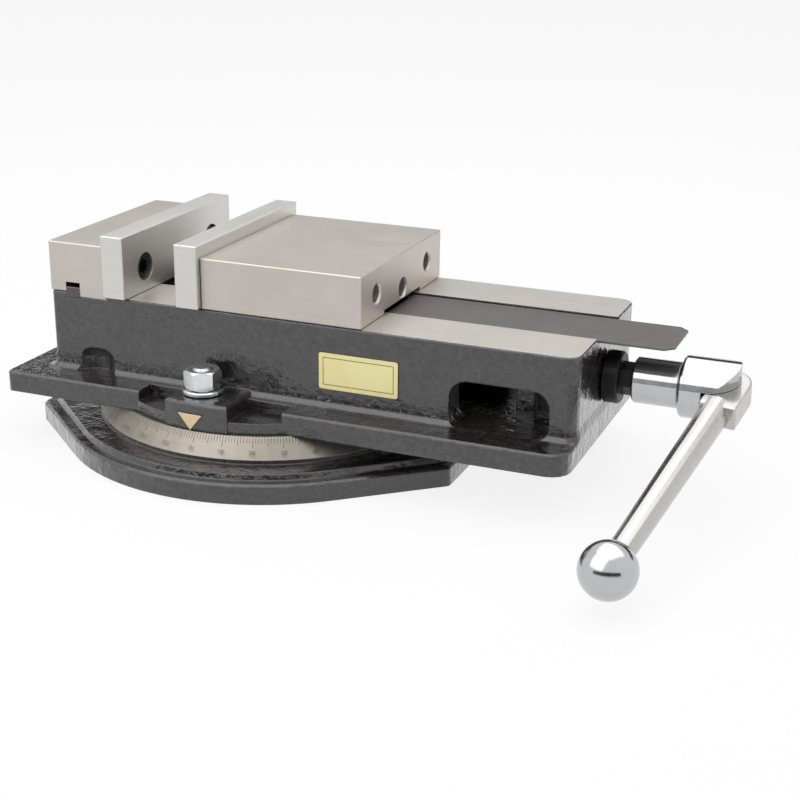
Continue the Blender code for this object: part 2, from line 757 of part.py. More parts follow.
def make_vise_body(material, parent):
    body = make_flange()
    join(body, make_walls())
    cut(body, prism("cavity", cavity_outline(), CAVITY_START_X, END_WALL_X, "X"))

    web_near = END_WALL_X - WEB_TO_END_WALL
    web_low = BODY_BOTTOM + FLOOR_THICKNESS / 2
    web_high = BED_Z - DECK_THICKNESS / 2
    join(body, slab("screw_web", -WEB_WIDTH / 2, WEB_WIDTH / 2, web_low, web_high,
                    web_near - WEB_THICKNESS, web_near, "X"))

    slot_end = BODY_NEAR_X - BED_SLOT_TO_END
    corner = [BED_SLOT_CORNER] * 4
    half_slot = BED_SLOT_WIDTH / 2
    outline = rounded_box(CAVITY_START_X, slot_end, -half_slot, half_slot, corner)
    slot = prism("bed_slot", outline, BED_Z - DECK_THICKNESS - CUT_OVERRUN, BED_Z + CUT_OVERRUN)
    outline = rounded_box(BED_SLOT_START_X, 0, -half_slot, half_slot, corner)
    shallow = prism("shallow_slot", outline, BED_Z - BED_SLOT_SHALLOW, BED_Z + 3 * CUT_OVERRUN)
    ledge = slab("ledges", BED_SLOT_START_X, BODY_NEAR_X + CUT_OVERRUN, -LEDGE_WIDTH / 2,
                 LEDGE_WIDTH / 2, BED_Z - LEDGE_DEPTH, BED_Z + 2 * CUT_OVERRUN)
    cut(body, slot, shallow, ledge)

    outside = BODY_WIDTH / 2 + BODY_FILLET + CUT_OVERRUN
    inside = BODY_WIDTH / 2 - WALL_THICKNESS - CUT_OVERRUN

    def side_cuts(side):
        ends = sorted((side * inside, side * outside))
        yield prism("chip_window", window_outline(), *ends, "Y")
        crown = WRENCH_POCKET_CROWN
        top = FLANGE_TOP + WRENCH_POCKET_HEIGHT
        radius = WRENCH_POCKET_RADIUS
        profile = [(0, FLANGE_TOP + SEAT_GAP), (radius, FLANGE_TOP + SEAT_GAP)]
        profile += arc((radius - crown, top - crown), crown, 0, 90, CORNER_FACETS)
        profile.append((0, top))
        centre_y = BODY_WIDTH / 2 - WRENCH_POCKET_DEPTH + radius
        yield turned("wrench_pocket", profile, LARGE_FACETS, "Z",
                     (BODY_FAR_X + WRENCH_POCKET_TO_END, side * centre_y, 0))
        hole = CLAMP_BOLT_RADIUS + CLAMP_HOLE_CLEARANCE
        yield rod("clamp_hole", hole, BODY_BOTTOM - CUT_OVERRUN, BOSS_TOP + CUT_OVERRUN,
                  MEDIUM_FACETS, "Z", (CLAMP_BOLT_X, side * CLAMP_BOLT_Y, 0))
        bolt_x = FIXED_BLOCK_X - JAW_BOLT_FROM_FRONT
        place = (bolt_x, side * JAW_BOLT_Y, 0)
        seat = BED_Z - JAW_BOLT_SEAT_DEPTH
        shaft = JAW_BOLT_RADIUS + SLIDE_GAP
        profile = [
            (0, BODY_BOTTOM - CUT_OVERRUN),
            (JAW_BOLT_BORE_RADIUS, BODY_BOTTOM - CUT_OVERRUN),
            (JAW_BOLT_BORE_RADIUS, seat),
            (shaft, seat),
            (shaft, BED_Z + CUT_OVERRUN),
            (0, BED_Z + CUT_OVERRUN),
        ]
        yield turned("jaw_bolt_bore", profile, MEDIUM_FACETS, "Z", place)

    cut(body, *mirrored(side_cuts))

    axis = (0, 0, SCREW_Z)
    cut(body,
        rod("pivot_bore", PIVOT_RADIUS + SEAT_GAP, BODY_BOTTOM - CUT_OVERRUN,
            BODY_BOTTOM + PIVOT_STAND + SEAT_GAP, LARGE_FACETS),
        rod("bush_bore", BUSH_RADIUS + SEAT_GAP, CAVITY_START_X - BUSH_LENGTH - 2 * SEAT_GAP,
            CAVITY_START_X + CUT_OVERRUN, MEDIUM_FACETS, "X", axis),
        rod("web_bore", SCREW_RADIUS + SEAT_GAP, web_near - WEB_THICKNESS - CUT_OVERRUN,
            web_near + CUT_OVERRUN, MEDIUM_FACETS, "X", axis),
        rod("thrust_recess", THRUST_RECESS_RADIUS, END_WALL_X - CUT_OVERRUN,
            END_WALL_X + THRUST_RECESS_DEPTH, MEDIUM_FACETS, "X", axis),
        rod("journal_bore", SCREW_JOURNAL_RADIUS + SEAT_GAP, END_WALL_X, BODY_NEAR_X + CUT_OVERRUN,
            MEDIUM_FACETS, "X", axis))
    key_left = BODY_FAR_X + KEY_FROM_END
    cut(body, slab("key_seat", key_left, key_left + KEY_WIDTH, -BODY_WIDTH, BODY_WIDTH,
                   BED_Z - KEY_SINK, BED_Z + CUT_OVERRUN),
        slab("toe_groove", key_left + KEY_WIDTH / 2, FIXED_BLOCK_X + SEAT_GAP, -BODY_WIDTH, BODY_WIDTH,
             BED_Z - TOE_DEPTH, BED_Z + 2 * CUT_OVERRUN))
    return finish(body, material, parent)


def make_clamps(materials, parent):
    """T-bolt, washer and nut on each side; the nut turns on a frame of its own."""
    names = {-1: "front", 1: "rear"}
    for side, word in names.items():
        place = Vector((CLAMP_BOLT_X, side * CLAMP_BOLT_Y, 0))
        spin = Matrix.Rotation(math.atan2(place.y, place.x), 4, "Z")
        head_top = BASE_HEIGHT - T_SLOT_LIP - SEAT_GAP
        half = T_HEAD_SIZE / 2
        bolt = slab("t_bolt_" + word, -half, half, -half, half, head_top - T_HEAD_HEIGHT, head_top)
        break_edges(bolt, EDGE_BREAK)
        nut_low = BOSS_TOP + WASHER_THICKNESS + 2 * SEAT_GAP
        top = nut_low + LOCK_NUT_HEIGHT + CLAMP_BOLT_STAND
        join(bolt, rod("stud", CLAMP_BOLT_RADIUS, head_top - T_HEAD_HEIGHT / 2, top, MEDIUM_FACETS,
                       chamfer=CLAMP_BOLT_STAND))
        move(bolt, Matrix.Translation(place) @ spin)
        finish(bolt, materials["plated_steel"], parent)
        washer_low = BOSS_TOP + SEAT_GAP
        washer = ring("washer_" + word, CLAMP_BOLT_RADIUS + SLIDE_GAP, WASHER_RADIUS, washer_low,
                      washer_low + WASHER_THICKNESS, MEDIUM_FACETS, "Z", place, EDGE_BREAK)
        finish(washer, materials["plated_steel"], parent)
        frame = joint_frame("lock_nut_axis_" + word, place + Vector((0, 0, nut_low)), parent)
        nut = lock_nut("lock_nut_" + word, Matrix.Translation(place + Vector((0, 0, nut_low))))
        finish(nut, materials["plated_steel"], frame)


def make_body_plates(materials, parent):
    half_length = LABEL_LENGTH / 2
    middle = BED_Z - LABEL_CENTRE_BELOW_BED
    outline = rounded_box(LABEL_CENTRE_X - half_length, LABEL_CENTRE_X + half_length,
                          middle - LABEL_HEIGHT / 2, middle + LABEL_HEIGHT / 2, [LABEL_CORNER] * 4)
    back = -BODY_WIDTH / 2 - SEAT_GAP
    label = prism("name_plate", outline, back - LABEL_THICKNESS, back, "Y")
    finish(label, materials["brass"], parent)
    tip = BODY_BOTTOM + SEAT_GAP
    top = tip + POINTER_HEIGHT
    outline = [(0, tip), (POINTER_WIDTH / 2, top), (-POINTER_WIDTH / 2, top)]
    back = -BOSS_RADIUS - SEAT_GAP
    pointer = prism("angle_pointer", outline, back - POINTER_THICKNESS, back, "Y")
    move(pointer, Matrix.Rotation(POINTER_X / BOSS_RADIUS, 4, "Z"))
    finish(pointer, materials["brass"], parent)


# Jaws

def plate_screw_place(side, x, facing):
    """Where a jaw plate's screw head sits; facing is the way its socket looks along X."""
    turn = Matrix.Rotation(facing * math.pi / 2, 4, "Y")
    return Matrix.Translation((x, side * PLATE_SCREW_Y, BED_Z + PLATE_SCREW_RISE)) @ turn


def make_jaw_plate(name, face_x, facing, material, parent):
    """A hardened plate with two counterbored holes; facing is the way its working face looks."""
    back = face_x - facing * JAW_PLATE_THICKNESS
    left, right = sorted((face_x, back))
    half = JAW_PLATE_WIDTH / 2
    plate = slab(name, left, right, -half, half, JAW_BOTTOM, JAW_BOTTOM + JAW_PLATE_HEIGHT)
    break_edges(plate, EDGE_BREAK)
    depth = PLATE_COUNTERBORE_DEPTH
    profile = [
        (0, -JAW_PLATE_THICKNESS - CUT_OVERRUN),
        (PLATE_SCREW_RADIUS + SLIDE_GAP, -JAW_PLATE_THICKNESS - CUT_OVERRUN),
        (PLATE_SCREW_RADIUS + SLIDE_GAP, -depth),
        (PLATE_COUNTERBORE_RADIUS, -depth),
        (PLATE_COUNTERBORE_RADIUS, CUT_OVERRUN),
        (0, CUT_OVERRUN),
    ]

    def counterbore(side):
        yield move(turned("counterbore", profile, MEDIUM_FACETS), plate_screw_place(side, face_x, facing))

    cut(plate, *mirrored(counterbore))
    return finish(plate, material, parent)


def make_plate_screws(stem, face_x, facing, material, parent):
    for side, word in ((-1, "front"), (1, "rear")):
        head_top = PLATE_COUNTERBORE_DEPTH - PLATE_SCREW_HEAD_HEIGHT - SEAT_GAP
        place = plate_screw_place(side, face_x - facing * head_top, facing)
        reach = JAW_PLATE_THICKNESS - PLATE_COUNTERBORE_DEPTH + PLATE_SCREW_REACH
        screw = cap_screw(stem + word, PLATE_SCREW_RADIUS, reach, PLATE_SCREW_HEAD_RADIUS,
                          PLATE_SCREW_HEAD_HEIGHT, place)
        finish(screw, material, parent)


def plate_screw_holes(front_x, facing):
    """Blind holes for the plate's screws, cut from the front face of a jaw block."""
    depth = PLATE_SCREW_REACH + SCREW_BOTTOM_CLEARANCE

    def hole(side):
        drill = rod("plate_screw_hole", PLATE_SCREW_RADIUS + SEAT_GAP, -depth, CUT_OVERRUN, SMALL_FACETS)
        yield move(drill, plate_screw_place(side, front_x, facing))

    return mirrored(hole)


def make_fixed_jaw(material, parent):
    half = BODY_WIDTH / 2
    jaw = slab("fixed_jaw", BODY_FAR_X, FIXED_BLOCK_X, -half, half, JAW_BOTTOM, BED_Z + JAW_HEIGHT)
    break_edges(jaw, EDGE_BREAK)
    key_left = BODY_FAR_X + KEY_FROM_END
    toe = slab("toe", key_left + KEY_WIDTH / 2, FIXED_BLOCK_X, -half, half, JAW_BOTTOM - TOE_DEPTH,
               BED_Z + KEYWAY_RISE / 2)
    join(jaw, toe)
    slot = slab("keyway", key_left, key_left + KEY_WIDTH, -BODY_WIDTH, BODY_WIDTH,
                BED_Z - CUT_OVERRUN, BED_Z + KEYWAY_RISE)

    def bolt_hole(side):
        place = (FIXED_BLOCK_X - JAW_BOLT_FROM_FRONT, side * JAW_BOLT_Y, 0)
        top = BED_Z + JAW_BOLT_REACH + SCREW_BOTTOM_CLEARANCE
        yield rod("bolt_hole", JAW_BOLT_RADIUS + SEAT_GAP, BED_Z - CUT_OVERRUN, top, SMALL_FACETS,
                  "Z", place)

    cut(jaw, slot, *mirrored(bolt_hole), *plate_screw_holes(FIXED_BLOCK_X, 1))
    return finish(jaw, material, parent)


def make_fixed_jaw_fastening(materials, parent):
    reach = JAW_BOLT_SEAT_DEPTH + JAW_BOLT_REACH
    for side, word in ((-1, "front"), (1, "rear")):
        x = FIXED_BLOCK_X - JAW_BOLT_FROM_FRONT
        low = BED_Z - JAW_BOLT_SEAT_DEPTH - SEAT_GAP - JAW_BOLT_HEAD_HEIGHT
        place = Matrix.Translation((x, side * JAW_BOLT_Y, low)) @ Matrix.Rotation(math.pi, 4, "X")
        bolt = cap_screw("fixed_jaw_bolt_" + word, JAW_BOLT_RADIUS, reach, JAW_BOLT_HEAD_RADIUS,
                         JAW_BOLT_HEAD_HEIGHT, place)
        finish(bolt, materials["black_steel"], parent)
    gap = SEAT_GAP
    key_left = BODY_FAR_X + KEY_FROM_END + gap
    half = BODY_WIDTH / 2
    key = slab("fixed_jaw_key", key_left, key_left + KEY_WIDTH - 2 * gap, -half, half,
               BED_Z - KEY_SINK + gap, BED_Z + KEY_RISE)
    finish(key, materials["ground_steel"], parent)


def ball_centre():
    return Vector((BLOCK_FRONT_X + BALL_FROM_FRONT, 0, BED_Z + BALL_RISE))


def lock_normal():
    """The direction from the half ball's flat face into the nut's lug."""
    angle = math.radians(LOCK_ANGLE)
    return Vector((math.cos(angle), 0, math.sin(angle)))


def lock_line(offset):
    """The two ends of the slanted face in the XZ plane, upper front end first."""
    normal = lock_normal()
    along = Vector((-normal.z, 0, normal.x))
    middle = ball_centre() - normal * offset
    upper = middle + along * LOCK_FACE_HALF
    lower = middle - along * LOCK_FACE_HALF
    return (upper.x, upper.z), (lower.x, lower.z)


def make_movable_jaw(material, parent):
    half = BODY_WIDTH / 2
    jaw = slab("movable_jaw", BLOCK_FRONT_X, BLOCK_REAR_X, -half, half, JAW_BOTTOM, BED_Z + JAW_HEIGHT)
    break_edges(jaw, EDGE_BREAK)
    lug_rear = BLOCK_FRONT_X + LUG_REAR_FROM_FRONT
    keel = slab("keel", BLOCK_FRONT_X + KEEL_FRONT_SETBACK, lug_rear + SLIDE_GAP, -KEEL_WIDTH / 2,
                KEEL_WIDTH / 2, BED_Z - KEEL_DEPTH, BED_Z + JAW_HEIGHT / 2)
    join(jaw, keel)

    upper, lower = lock_line(LOCK_FACE_GAP)
    roof = BED_Z + LUG_RISE + SLIDE_GAP
    front = upper[0] - SLIDE_GAP
    slope = (upper[1] - lower[1]) / (upper[0] - lower[0])
    knee = upper[1] + slope * (front - upper[0])
    rear = lug_rear + 2 * SLIDE_GAP
    below = BED_Z - KEEL_DEPTH - CUT_OVERRUN
    shank = lower[0] - SLIDE_GAP
    shank_z = lower[1] + slope * (shank - lower[0])
    pocket = [(front, roof), (front, knee), (shank, shank_z), (shank, below), (rear, below), (rear, roof)]
    half_pocket = LUG_WIDTH / 2 + SLIDE_GAP
    centre = ball_centre()
    cut(jaw, prism("lug_pocket", pocket, -half_pocket, half_pocket, "Y"),
        ball("half_ball_seat", BALL_RADIUS + SEAT_GAP, centre, MEDIUM_FACETS))

    axis = (0, 0, BED_Z + ADJUSTER_RISE)
    thread_end = lug_rear + ADJUSTER_LENGTH + SCREW_BOTTOM_CLEARANCE
    notch_start = BLOCK_REAR_X - GUARD_NOTCH_LENGTH
    notch = slab("guard_notch", notch_start, BLOCK_REAR_X + CUT_OVERRUN, -GUARD_NOTCH_WIDTH / 2,
                 GUARD_NOTCH_WIDTH / 2, BED_Z - CUT_OVERRUN, BED_Z + GUARD_NOTCH_HEIGHT)
    cut(jaw, notch,
        rod("adjuster_thread", ADJUSTER_RADIUS + SEAT_GAP, lug_rear, thread_end + CUT_OVERRUN,
            MEDIUM_FACETS, "X", axis))
    mouth = [(0, thread_end), (REAR_BORE_RADIUS, thread_end)]
    mouth += rear_mouth()
    cut(jaw, turned("adjuster_bore", mouth, MEDIUM_FACETS, "X", axis))

    def rear_hole(side):
        start = BLOCK_REAR_X - REAR_HOLE_DEPTH
        profile = [(0, start), (REAR_BORE_RADIUS, start)] + rear_mouth()
        place = (0, side * REAR_HOLE_Y, BED_Z + REAR_HOLE_RISE)
        yield turned("rear_hole", profile, MEDIUM_FACETS, "X", place)

    cut(jaw, *mirrored(rear_hole), *plate_screw_holes(BLOCK_FRONT_X, -1))
    return finish(jaw, material, parent)


def rear_mouth():
    """The chamfered mouth that the three holes in the rear face share."""
    step = REAR_BORE_MOUTH - REAR_BORE_RADIUS
    return [
        (REAR_BORE_RADIUS, BLOCK_REAR_X - REAR_BORE_CHAMFER),
        (REAR_BORE_MOUTH, BLOCK_REAR_X),
        (REAR_BORE_MOUTH + step, BLOCK_REAR_X + CUT_OVERRUN),
        (0, BLOCK_REAR_X + CUT_OVERRUN),
    ]


def make_nut(material, parent):
    """The nut on the lead screw, with the slanted lug that pulls the jaw forward and down."""
    lug_rear = BLOCK_FRONT_X + LUG_REAR_FROM_FRONT
    front = BLOCK_FRONT_X + NUT_FRONT_SETBACK
    half = NUT_WIDTH / 2
    low = SCREW_Z - NUT_BELOW_AXIS
    high = BED_Z - DECK_THICKNESS - NUT_TOP_CLEARANCE
    nut = prism("jaw_nut", rounded_box(-half, half, low, high, [NUT_CORNER] * 4), front, lug_rear, "X")
    upper, lower = lock_line(0)
    half_lug = LUG_WIDTH / 2
    root_top = SCREW_Z + SCREW_RADIUS + NUT_WALL_OVER_SCREW
    root_top = min(root_top, BED_Z - KEEL_DEPTH - SLIDE_GAP)
    root = slab("lug_root", front, lug_rear, SCREW_Z, root_top, -half_lug, half_lug, "Y")
    outline = [
        (lower[0], SCREW_Z),
        (lug_rear, SCREW_Z),
        (lug_rear, BED_Z + LUG_RISE),
        (upper[0], BED_Z + LUG_RISE),
        upper,
        lower,
    ]
    lug = prism("lug", outline, -half_lug, half_lug, "Y")
    join(nut, root, lug)
    bore = SCREW_RADIUS + SEAT_GAP
    cut(nut, rod("nut_bore", bore, front - CUT_OVERRUN, lug_rear + CUT_OVERRUN, MEDIUM_FACETS, "X",
                 (0, 0, SCREW_Z)))
    return finish(nut, material, parent)


def make_half_ball(material, parent):
    """The segment between the lug's slanted face and the round seat in the jaw."""
    profile = [(0, -BALL_RADIUS)]
    profile += arc((0, 0), BALL_RADIUS, -90, 0, MEDIUM_FACETS // 4)[1:-1]
    edge = math.sqrt(BALL_RADIUS**2 - SEAT_GAP**2)
    profile += [(edge, -SEAT_GAP), (0, -SEAT_GAP)]
    segment = turned("half_ball", profile, MEDIUM_FACETS)
    turn = lock_normal().to_track_quat("Z", "Y").to_matrix().to_4x4()
    move(segment, Matrix.Translation(ball_centre()) @ turn)
    return finish(segment, material, parent)


def make_adjusting_screw(material, parent):
    start = BLOCK_FRONT_X + LUG_REAR_FROM_FRONT + SEAT_GAP
    axis = (0, 0, BED_Z + ADJUSTER_RISE)
    screw = rod("adjusting_screw", ADJUSTER_RADIUS, start, start + ADJUSTER_LENGTH, SMALL_FACETS, "X",
                axis, EDGE_BREAK)
    depth = ADJUSTER_LENGTH / 3
    socket = prism("socket", hexagon(2 * ADJUSTER_RADIUS * SOCKET_SHARE),
                   start + ADJUSTER_LENGTH - depth, start + ADJUSTER_LENGTH + CUT_OVERRUN, "X")
    cut(screw, move(socket, Matrix.Translation(axis)))
    return finish(screw, material, parent)


# Lead screw and bearings

def make_lead_screw(material, parent):
    shoulder_near = END_WALL_X + THRUST_RECESS_DEPTH - 2 * THRUST_WASHER - THRUST_CAGE - 4 * SEAT_GAP
    shoulder_far = shoulder_near - SCREW_SHOULDER_LENGTH
    journal_end = COLLAR_X + COLLAR_LENGTH
    far_end = CAVITY_START_X - BUSH_LENGTH
    chamfer = SCREW_CHAMFER
    profile = [
        (0, far_end),
        (SCREW_FAR_JOURNAL_RADIUS - chamfer, far_end),
        (SCREW_FAR_JOURNAL_RADIUS, far_end + chamfer),
        (SCREW_FAR_JOURNAL_RADIUS, CAVITY_START_X + SEAT_GAP),
        (SCREW_RADIUS - chamfer, CAVITY_START_X + SEAT_GAP),
        (SCREW_RADIUS, CAVITY_START_X + SEAT_GAP + chamfer),
        (SCREW_RADIUS, shoulder_far),
        (SCREW_SHOULDER_RADIUS, shoulder_far),
        (SCREW_SHOULDER_RADIUS, shoulder_near),
        (SCREW_JOURNAL_RADIUS, shoulder_near),
        (SCREW_JOURNAL_RADIUS, journal_end),
        (0, journal_end),
    ]
    screw = turned("lead_screw", profile, MEDIUM_FACETS, "X")
    hex_end = HUB_X + HEX_GRIP
    drive = prism("drive_hex", hexagon(HEX_FLATS), journal_end - COLLAR_LENGTH / 2, hex_end, "X")
    crown = HEX_FLATS / math.sqrt(3)
    keep_inside(drive, rod("crown", crown, journal_end - COLLAR_LENGTH, hex_end, LARGE_FACETS, "X",
                           chamfer=chamfer))
    join(screw, drive)
    roll = Matrix.Rotation(math.radians(HANDLE_ROLL), 4, "X")
    move(screw, Matrix.Translation((0, 0, SCREW_Z)) @ roll)
    return finish(screw, material, parent)


def make_bearings(materials, body_frame, screw_frame):
    axis = (0, 0, SCREW_Z)
    bush = ring("screw_bush", SCREW_FAR_JOURNAL_RADIUS + SEAT_GAP, BUSH_RADIUS,
                CAVITY_START_X - BUSH_LENGTH, CAVITY_START_X, MEDIUM_FACETS, "X", axis, EDGE_BREAK)
    finish(bush, materials["bronze"], body_frame)
    inner = SCREW_JOURNAL_RADIUS + SEAT_GAP
    recess_end = END_WALL_X + THRUST_RECESS_DEPTH
    outer_start = recess_end - SEAT_GAP - THRUST_WASHER
    cage_start = outer_start - SEAT_GAP - THRUST_CAGE
    inner_start = cage_start - SEAT_GAP - THRUST_WASHER
    washer = ring("thrust_washer_outer", inner, THRUST_RADIUS, outer_start, outer_start + THRUST_WASHER,
                  MEDIUM_FACETS, "X", axis)
    finish(washer, materials["ground_steel"], body_frame)
    cage = ring("thrust_cage", inner, THRUST_RADIUS, cage_start, cage_start + THRUST_CAGE,
                MEDIUM_FACETS, "X", axis)
    finish(cage, materials["bronze"], body_frame)
    washer = ring("thrust_washer_inner", inner, THRUST_RADIUS, inner_start, inner_start + THRUST_WASHER,
                  MEDIUM_FACETS, "X", axis)
    finish(washer, materials["ground_steel"], screw_frame)
    collar = ring("retaining_collar", inner, COLLAR_RADIUS, COLLAR_X, COLLAR_X + COLLAR_LENGTH,
                  LARGE_FACETS, "X", axis, COLLAR_CHAMFER)
    pin = rod("clamp_screw_hole", COLLAR_PIN_RADIUS, SCREW_JOURNAL_RADIUS, COLLAR_RADIUS + CUT_OVERRUN,
              SMALL_FACETS, "Z", (COLLAR_X + COLLAR_LENGTH / 2, 0, SCREW_Z))
    cut(collar, pin)
    finish(collar, materials["black_steel"], screw_frame)


# Handle, modelled with the screw axis along X and the fold pin along Z

def hub_matrix():
    return Matrix.Translation((0, 0, SCREW_Z)) @ Matrix.Rotation(math.radians(HANDLE_ROLL), 4, "X")


def arm_matrix():
    tilt = Matrix.Rotation(math.radians(-HANDLE_TILT), 4, "Z")
    return hub_matrix() @ Matrix.Translation((PIN_X, 0, 0)) @ tilt


def fork_slot_half():
    return TONGUE_THICKNESS / 2 + SEAT_GAP


def make_handle_hub(material, parent):
    tip = FORK_X + FORK_LENGTH
    profile = [
        (0, HUB_X),
        (HUB_RADIUS - HUB_CHAMFER, HUB_X),
        (HUB_RADIUS, HUB_X + HUB_CHAMFER),
        (HUB_RADIUS, FORK_X - HUB_GROOVE),
        (HUB_RADIUS - HUB_GROOVE, FORK_X - HUB_GROOVE),
        (HUB_RADIUS - HUB_GROOVE, FORK_X),
        (FORK_RADIUS - FORK_ROUND, FORK_X),
    ]
    profile += arc((FORK_RADIUS - FORK_ROUND, FORK_X + FORK_ROUND), FORK_ROUND, -90, 0, CORNER_FACETS)[1:]
    profile += [(FORK_RADIUS, tip), (0, tip)]
    hub = turned("handle_hub", profile, LARGE_FACETS, "X")
    bullet = [(HUB_X - CUT_OVERRUN, FORK_RADIUS + SEAT_GAP), (HUB_X - CUT_OVERRUN, -FORK_RADIUS - SEAT_GAP)]
    steps = 3 * CORNER_FACETS
    length = FORK_LENGTH - FORK_COLLAR
    for x, y in arc((0, 0), 1, -90, 90, steps):
        bullet.append((FORK_X + FORK_COLLAR + length * x, (FORK_RADIUS + SEAT_GAP) * y))
    keep_inside(hub, prism("fork_outline", bullet, -FORK_RADIUS - CUT_OVERRUN, FORK_RADIUS + CUT_OVERRUN))
    slot_start = PIN_X - TONGUE_RADIUS - FORK_STOP_CLEARANCE
    half = fork_slot_half()
    slot = slab("fork_slot", slot_start, tip + CUT_OVERRUN, -FORK_RADIUS - CUT_OVERRUN,
                FORK_RADIUS + CUT_OVERRUN, -half, half)
    flats = HEX_FLATS + 2 * SEAT_GAP
    socket = prism("hex_socket", hexagon(flats), HUB_X - CUT_OVERRUN, HUB_X + HEX_GRIP + SLIDE_GAP, "X")
    pin_hole = rod("pin_hole", PIN_RADIUS + SEAT_GAP, -FORK_RADIUS - CUT_OVERRUN,
                   FORK_RADIUS - PIN_BURY + SEAT_GAP, MEDIUM_FACETS, "Z", (PIN_X, 0, 0))
    cut(hub, slot, socket, pin_hole)
    move(hub, hub_matrix())
    return finish(hub, material, parent)


def make_fork_pin(material, parent):
    low = -math.sqrt(FORK_RADIUS**2 - PIN_RADIUS**2) + SEAT_GAP
    pin = rod("fork_pin", PIN_RADIUS, low, FORK_RADIUS - PIN_BURY, MEDIUM_FACETS, "Z", (PIN_X, 0, 0),
              EDGE_BREAK)
    move(pin, hub_matrix())
    return finish(pin, material, parent)


def tongue_outline():
    """The arm's head seen along the pin: round at the pin, flat on both sides."""
    bend = math.degrees(math.acos(TONGUE_LEFT / TONGUE_RADIUS))
    points = [(TONGUE_RADIUS, -TONGUE_LENGTH)]
    points += arc((0, 0), TONGUE_RADIUS, 0, 180 + bend, 4 * CORNER_FACETS)
    points.append((-TONGUE_LEFT, -TONGUE_LENGTH))
    return points


def make_handle_arm(material, parent):
    half = TONGUE_THICKNESS / 2
    arm = prism("handle_arm", tongue_outline(), -half, half)
    break_edges(arm, TONGUE_ROUND, 2)
    knob_start = HANDLE_LENGTH - KNOB_RADIUS + KNOB_BORE_DEPTH
    neck = HANDLE_LENGTH - math.sqrt(KNOB_RADIUS**2 - ARM_END_RADIUS**2) - SEAT_GAP
    profile = [
        (0, -ARM_ROOT),
        (ARM_RADIUS, -ARM_ROOT),
        (ARM_END_RADIUS, -neck + EDGE_BREAK),
        (ARM_END_RADIUS - EDGE_BREAK, -neck),
        (ARM_SPIGOT_RADIUS, -neck),
        (ARM_SPIGOT_RADIUS, -knob_start + EDGE_BREAK),
        (ARM_SPIGOT_RADIUS - EDGE_BREAK, -knob_start),
        (0, -knob_start),
    ]
    join(arm, turned("shaft", profile, MEDIUM_FACETS, "Y"))
    cut(arm, rod("pin_bore", PIN_RADIUS + SEAT_GAP, -half - CUT_OVERRUN, half + CUT_OVERRUN, MEDIUM_FACETS))
    move(arm, arm_matrix())
    return finish(arm, material, parent)


def make_ball_knob(material, parent):
    knob = ball("ball_knob", KNOB_RADIUS, (0, -HANDLE_LENGTH, 0), KNOB_FACETS)
    flat = HANDLE_LENGTH - math.sqrt(KNOB_RADIUS**2 - ARM_END_RADIUS**2)
    bore_end = HANDLE_LENGTH - KNOB_RADIUS + KNOB_BORE_DEPTH + SEAT_GAP
    faced = slab("faced_end", -KNOB_RADIUS, KNOB_RADIUS, -KNOB_RADIUS, KNOB_RADIUS, -flat, 0, "Y")
    bore = rod("knob_bore", ARM_SPIGOT_RADIUS + SEAT_GAP, -bore_end, -flat + CUT_OVERRUN, MEDIUM_FACETS, "Y")
    cut(knob, faced, bore)
    move(knob, arm_matrix())
    return finish(knob, material, parent)


# Chip guard

def make_chip_guard(material, parent):
    half = GUARD_WIDTH / 2
    start = GUARD_END_X - GUARD_LENGTH
    corner = GUARD_CORNER
    outline = [
        (start, -half),
        (GUARD_END_X - corner, -half),
        (GUARD_END_X, corner - half),
        (GUARD_END_X, half - corner),
        (GUARD_END_X - corner, half),
        (start, half),
    ]
    low = BED_Z - LEDGE_DEPTH + SEAT_GAP
    guard = prism("chip_guard", outline, low, low + GUARD_THICKNESS)
    return finish(guard, material, parent)


# The whole vise

def clear_scene():
    for item in list(bpy.data.objects):
        bpy.data.objects.remove(item)


